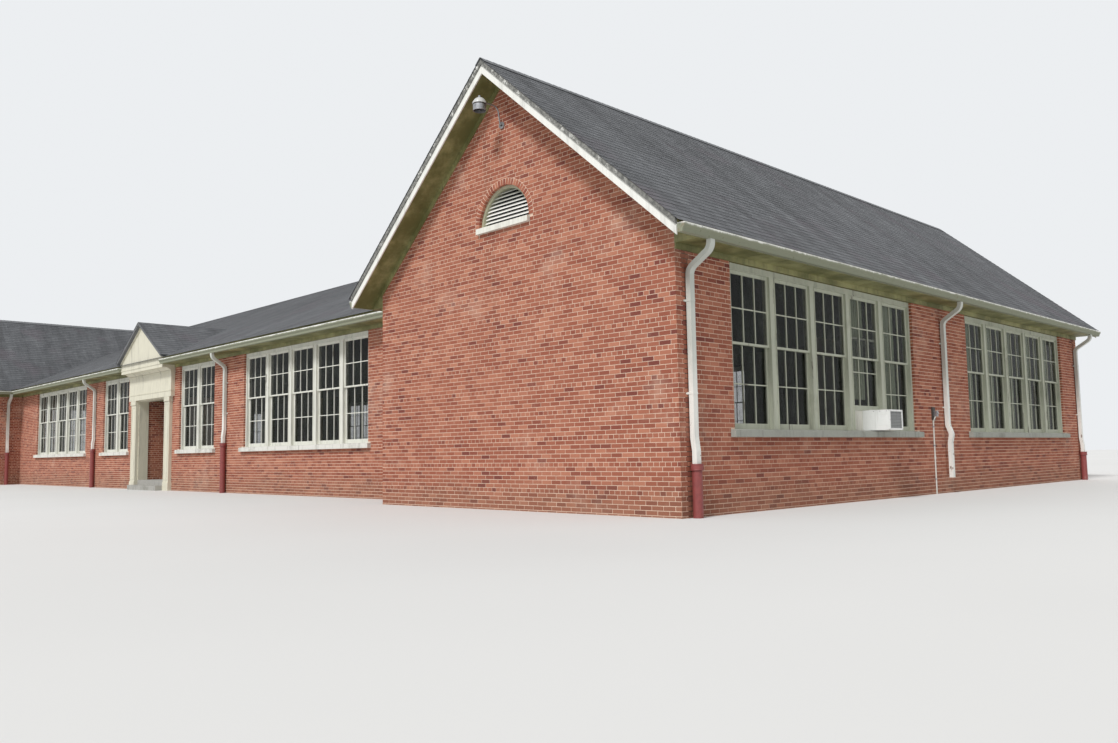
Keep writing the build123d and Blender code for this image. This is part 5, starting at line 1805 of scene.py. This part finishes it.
def strap_downspouts():
    """Straps that hold every downspout to its wall, at two heights."""
    s = settings("fittings")
    outline = [
        (-0.042, 0.0), (-0.042, 0.0016), (-0.0268, 0.0016), (-0.0268, 0.0518), (0.0268, 0.0518),
        (0.0268, 0.0016), (0.042, 0.0016), (0.042, 0.0), (0.0252, 0.0), (0.0252, 0.0502),
        (-0.0252, 0.0502), (-0.0252, 0.0),
    ]
    strap = Shape()
    strap.prism([(out, along, 0.0) for along, out in outline], (0.0, 0.0, s.strap))
    for along in (-0.035, 0.035):
        strap.screw((0.0016, along, s.strap / 2), RIGHT, 0.0034)
    places, turns = [], []
    for low, high in solids_of("downspouts"):
        middle = (low + high) / 2
        on_side = high.x - low.x > high.y - low.y
        for z in (STRAP_HIGH, STRAP_LOW[0] if low.z > 0.5 else STRAP_LOW[1]):
            if on_side:
                wall = SIDE_X if abs(middle.x) > SIDE_X else INNER_X
                outward = 1 if (abs(middle.x) > wall) == (middle.x > 0) else -1
                places.append((math.copysign(wall, middle.x), middle.y, z))
                turns.append((0.0, 0.0, 0.0 if outward > 0 else math.pi))
            else:
                places.append((middle.x, math.copysign(HALL_Y, middle.y), z))
                turns.append((0.0, 0.0, math.copysign(math.pi / 2, middle.y)))
    set_out("downspout_straps", strap, "spout", "gutter_metal", places, turns)


BEAD_CLEAR = 0.0025


def ring_boots():
    """Beads of the boots' hubs, each a little off its wall."""
    rings = Shape()
    for low, high in solids_of("downspout_boots"):
        middle = (low + high) / 2
        radius = (high.x - low.x) / 2
        clear = Vector((math.copysign(BEAD_CLEAR, middle.x), 0.0, 0.0))
        if abs(middle.x) < SIDE_X and abs(middle.y) > HALL_Y + WALL:
            clear = -clear
        elif abs(middle.x) < SIDE_X:
            clear = Vector((0.0, math.copysign(BEAD_CLEAR, middle.y), 0.0))
        for down, thick in ((0.004, 0.0032), (0.040, 0.0036)):
            centre = Vector((*middle.xy, high.z - down)) + clear
            rings.hoop(centre, UP, radius - 0.0015, thick, 32, 6)
    rings.piece("boot_rings", "cast_iron", "cast_iron")


# Entrance


# Foot and head of the panel on a pilaster
PILASTER_PANEL = (0.16, 1.32)


def trim_entrance():
    """Beads and mouldings on the pilasters, the beam and the pediment."""
    foot, head = PILASTER_PANEL
    low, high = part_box("pilasters")
    face = low.y + 0.01
    trim = Shape()
    for side in (-1, 1):
        x0, x1 = PORCH_HALF + 0.032, high.x - 0.042
        for a, b, z0, z1 in (
            (x0, x0 + 0.008, foot, head), (x1 - 0.008, x1, foot, head),
            (x0, x1, foot, foot + 0.008), (x0, x1, head - 0.008, head),
        ):
            trim.block((side * a, face - 0.0045, z0), (side * b, face + 0.001, z1), 0.0012)
        for out, z0, z1 in ((0.006, 1.352, 1.360), (0.014, 1.360, 1.371), (0.007, 0.120, 0.130)):
            inner = (side * (PORCH_HALF - 0.0015), face - out, z0)
            trim.block(inner, (side * (high.x - 0.01 + out), -HALL_Y, z1), 0.002)
    beam_face = -HALL_Y - 0.062
    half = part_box("entablature")[1].x
    for out, z0, z1 in (
        (0.006, 1.512, 1.524), (0.004, 1.524, 1.530), (0.010, 1.800, 1.822), (0.006, 1.788, 1.800),
    ):
        trim.block((-half - out, beam_face - out, z0), (half + out, -HALL_Y, z1), 0.0015)
    board_low, board_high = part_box("pediment_board")
    front = board_low.y
    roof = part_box("pediment_roof")
    peak = roof[1].z - PEDIMENT_ROOF
    slope = (peak - roof[0].z) / roof[1].x
    reach = board_high.x + 0.02
    for side in (-1, 1):
        for out, top, drop in ((0.014, 0.0, 0.030), (0.007, 0.030, 0.042)):
            outline = [
                (0.0, peak - top), (side * reach, peak - top - slope * reach),
                (side * reach, peak - drop - slope * reach), (0.0, peak - drop),
            ]
            trim.prism([(x, front + 0.001, z) for x, z in outline], (0.0, -out - 0.001, 0.0))
    trim.block((-half, front - 0.008, board_low.z), (half, front + 0.001, board_low.z + 0.022), 0.0015)
    trim.piece("entrance_mouldings", "entrance", "white_trim")


def fit_doors():
    """Handles, hinges, kick plates, panel beads and threshold of the two doors."""
    low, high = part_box("doors")
    face = low.y
    beads = Shape()
    metal = Shape()
    for side in (-1, 1):

        def block(shape, x0, x1, out, back, z0, z1, edge):
            shape.block((side * x0, face - out, z0), (side * x1, face + back, z1), edge)

        x0, x1 = 0.061, high.x - 0.060
        for z0, z1 in ((0.22, 0.58), (0.65, 1.128)):
            for a, b in ((x0, x0 + 0.009), (x1 - 0.009, x1)):
                block(beads, a, b, 0.0035, 0.004, z0, z1, 0.0012)
            for a, b in ((z0, z0 + 0.009), (z1 - 0.009, z1)):
                block(beads, x0, x1, 0.0035, 0.004, a, b, 0.0012)
        block(metal, 0.020, high.x - 0.020, 0.0014, 0.0, 0.160, 0.212, 0.0005)
        hinge = [(0.0, 0.0), (0.0038, 0.001), (0.0038, 0.043), (0.0, 0.044)]
        for z in (0.245, 0.66, 1.09):
            metal.turned(hinge, (side * (high.x - 0.002), face - 0.003, z), UP, 10)
        x = side * 0.031
        pull = [(0.0, 0.60), (0.022, 0.605), (0.026, 0.63), (0.026, 0.72), (0.022, 0.745), (0.0, 0.75)]
        metal.tube([(x, face - out, z) for out, z in pull], 0.0045)
        for z in (0.585, 0.735):
            block(metal, 0.022, 0.040, 0.0016, 0.0, z, z + 0.030, 0.0006)
        keyhole = [(0.0072, 0.0), (0.0072, 0.0025), (0.005, 0.0032)]
        metal.turned(keyhole, (x, face, 0.80), FRONT, 16)
    half = PORCH_HALF - 0.05
    metal.block((-half, face - 0.035, FLOOR_TOP), (half, face + 0.02, FLOOR_TOP + 0.0035), 0.001)
    beads.piece("door_beads", "door", "door_paint")
    metal.piece("door_fittings", "brass", "galvanised")


# Stage


def camera_matrix():
    """Place and turn of the photograph's camera."""
    forward = Vector((
        -math.sin(CAMERA_YAW) * math.cos(CAMERA_PITCH),
        math.cos(CAMERA_YAW) * math.cos(CAMERA_PITCH),
        math.sin(CAMERA_PITCH),
    ))
    level = Vector((math.cos(CAMERA_YAW), math.sin(CAMERA_YAW), 0.0))
    upright = level.cross(forward)
    right = math.cos(CAMERA_ROLL) * level + math.sin(CAMERA_ROLL) * upright
    up = -math.sin(CAMERA_ROLL) * level + math.cos(CAMERA_ROLL) * upright
    turned = Matrix((right, up, -forward)).transposed().to_4x4()
    return Matrix.Translation(CAMERA_PLACE) @ turned


def add_camera():
    data = bpy.data.cameras.new("camera")
    data.lens = CAMERA_LENS
    data.sensor_width = CAMERA_SENSOR
    data.sensor_fit = "HORIZONTAL"
    data.clip_end = 500.0
    camera = new_object("camera", data)
    camera.matrix_world = camera_matrix()
    bpy.context.scene.camera = camera


def add_sun(name, towards, energy, softness):
    data = bpy.data.lights.new(name, "SUN")
    data.energy = energy
    data.angle = math.radians(softness)
    light = new_object(name, data)
    light.rotation_euler = Vector(towards).to_track_quat("Z", "Y").to_euler()


def add_world(s):
    """Even light; the camera, gloss and glass see the pale background instead."""
    world = bpy.data.worlds.new("studio")
    world.use_nodes = True
    world.node_tree.nodes.clear()
    nodes = Nodes(world.node_tree)
    camera_ray = nodes.node("ShaderNodeLightPath", output="Is Camera Ray")
    glossy = camera_ray.also("Is Glossy Ray")
    through = camera_ray.also("Is Transmission Ray")
    seen = camera_ray.maths("MAXIMUM", glossy).maths("MAXIMUM", through)
    white = rgba((1.0, 1.0, 1.0))
    light = nodes.node("ShaderNodeBackground", inputs={"Color": white, "Strength": s.world})
    pale = nodes.node("ShaderNodeBackground", inputs={"Color": rgba(s.sky), "Strength": 1.0})
    mixed = nodes.node("ShaderNodeMixShader", inputs={0: seen, 1: light, 2: pale})
    nodes.end("ShaderNodeOutputWorld", "Surface", mixed)
    bpy.context.scene.world = world


def floor_finish():
    f = Finish("studio floor")
    cloud = f.noise(0.15, detail=3.0)
    tint = settings("stage").floor
    f.base = f.mixed(f.ease(cloud, 0.35, 0.65), tint, dimmed(tint, 0.97))
    return f.finished(0.95, Specular_IOR_Level=0.1)


FLOOR_REACH = 90.0


def set_stage():
    """Camera, lights, background and floor."""
    s = settings("stage")
    bpy.context.scene.view_settings.view_transform = "Standard"
    add_camera()
    add_sun("key", (0.17, -0.66, 0.73), s.sun, 12.0)
    add_sun("fill", (-0.5, 0.7, 0.5), s.fill, 40.0)
    add_world(s)
    corners = [(x * FLOOR_REACH, y * FLOOR_REACH, 0.0) for x, y in ((-1, -1), (1, -1), (1, 1), (-1, 1))]
    floor = new_object("floor", mesh_of("floor", corners, [(0, 1, 2, 3)]))
    floor.data.materials.append(floor_finish())


# Operators


class SCHOOL_OT_stage(bpy.types.Operator):
    """Sets the camera, the lights, the background and the floor"""

    bl_idname = "school.stage"
    bl_label = "Stage"

    def execute(self, context):
        set_stage()
        return {"FINISHED"}


class SCHOOL_OT_finishes(bpy.types.Operator):
    """Gives the CAD parts their weathered finishes"""

    bl_idname = "school.finishes"
    bl_label = "Finishes"

    def execute(self, context):
        dress_nodes()
        return {"FINISHED"}


class SCHOOL_OT_bricks(bpy.types.Operator):
    """Lays the bricks of every outer wall and around the gable vents"""

    bl_idname = "school.bricks"
    bl_label = "Bricks"

    def execute(self, context):
        lay_walls()
        lay_vent_rings()
        return {"FINISHED"}


class SCHOOL_OT_shingles(bpy.types.Operator):
    """Lays the shingles of every slope"""

    bl_idname = "school.shingles"
    bl_label = "Shingles"

    def execute(self, context):
        lay_roofs()
        return {"FINISHED"}


class SCHOOL_OT_ridges(bpy.types.Operator):
    """Folds shingles over the ridges"""

    bl_idname = "school.ridges"
    bl_label = "Ridge shingles"

    def execute(self, context):
        cap_ridges()
        return {"FINISHED"}


class SCHOOL_OT_sash_bars(bpy.types.Operator):
    """Parts every sash into panes"""

    bl_idname = "school.sash_bars"
    bl_label = "Sash bars"

    def execute(self, context):
        bar_sashes()
        return {"FINISHED"}


class SCHOOL_OT_window_beads(bpy.types.Operator):
    """Sets the stop beads around every window unit"""

    bl_idname = "school.window_beads"
    bl_label = "Window beads"

    def execute(self, context):
        bead_windows()
        return {"FINISHED"}


class SCHOOL_OT_curtains(bpy.types.Operator):
    """Hangs the gathered curtains on their rings"""

    bl_idname = "school.curtains"
    bl_label = "Curtains"

    def execute(self, context):
        hang_curtains()
        return {"FINISHED"}


class SCHOOL_OT_air_conditioner(bpy.types.Operator):
    """Fits the grille, vents and side panels of the window unit"""

    bl_idname = "school.air_conditioner"
    bl_label = "Window unit"

    def execute(self, context):
        fit_grille()
        fit_case()
        pleat_fillers()
        return {"FINISHED"}


class SCHOOL_OT_meter(bpy.types.Operator):
    """Fits the meter box and its pipe"""

    bl_idname = "school.meter"
    bl_label = "Meter"

    def execute(self, context):
        fit_meter()
        fit_conduit()
        return {"FINISHED"}


class SCHOOL_OT_lamp(bpy.types.Operator):
    """Fits the cover, rims, nuts and screws of the gable lamp"""

    bl_idname = "school.lamp"
    bl_label = "Lamp"

    def execute(self, context):
        fit_lamp()
        return {"FINISHED"}


class SCHOOL_OT_gutters(bpy.types.Operator):
    """Fits the seams and spikes of the gutters"""

    bl_idname = "school.gutters"
    bl_label = "Gutters"

    def execute(self, context):
        fit_gutters()
        return {"FINISHED"}


class SCHOOL_OT_downspouts(bpy.types.Operator):
    """Straps the downspouts to the walls and rings their boots"""

    bl_idname = "school.downspouts"
    bl_label = "Downspout straps"

    def execute(self, context):
        strap_downspouts()
        ring_boots()
        return {"FINISHED"}


class SCHOOL_OT_entrance(bpy.types.Operator):
    """Sets the mouldings of the entrance"""

    bl_idname = "school.entrance"
    bl_label = "Entrance"

    def execute(self, context):
        trim_entrance()
        return {"FINISHED"}


class SCHOOL_OT_doors(bpy.types.Operator):
    """Fits the handles, hinges and beads of the doors"""

    bl_idname = "school.doors"
    bl_label = "Doors"

    def execute(self, context):
        fit_doors()
        return {"FINISHED"}


OPERATORS = [
    SCHOOL_OT_stage,
    SCHOOL_OT_finishes,
    SCHOOL_OT_bricks,
    SCHOOL_OT_shingles,
    SCHOOL_OT_ridges,
    SCHOOL_OT_sash_bars,
    SCHOOL_OT_window_beads,
    SCHOOL_OT_curtains,
    SCHOOL_OT_air_conditioner,
    SCHOOL_OT_meter,
    SCHOOL_OT_lamp,
    SCHOOL_OT_gutters,
    SCHOOL_OT_downspouts,
    SCHOOL_OT_entrance,
    SCHOOL_OT_doors,
]


class SCHOOL_PT_panel(bpy.types.Panel):
    """Lists the pieces and the values that they are made with"""

    bl_idname = "SCHOOL_PT_panel"
    bl_label = "School building"
    bl_space_type = "VIEW_3D"
    bl_region_type = "UI"
    bl_category = "School"

    def draw(self, context):
        for name, group in SETTINGS.items():
            box = self.layout.box()
            box.label(text=group.__doc__)
            for value in group.__annotations__:
                box.prop(settings(name), value)
        for made in OPERATORS:
            self.layout.operator(made.bl_idname)


CLASSES = [*SETTINGS.values(), *OPERATORS, SCHOOL_PT_panel]


def register():
    for made in CLASSES:
        bpy.utils.register_class(made)
    for name, group in SETTINGS.items():
        setattr(bpy.types.Scene, "school_" + name, bpy.props.PointerProperty(type=group))


def unregister():
    for name in SETTINGS:
        delattr(bpy.types.Scene, "school_" + name)
    for made in reversed(CLASSES):
        bpy.utils.unregister_class(made)


def main():
    """Makes every piece."""
    register()
    for made in OPERATORS:
        getattr(bpy.ops.school, made.bl_idname.split(".")[1])()


if __name__ == "__main__":
    main()
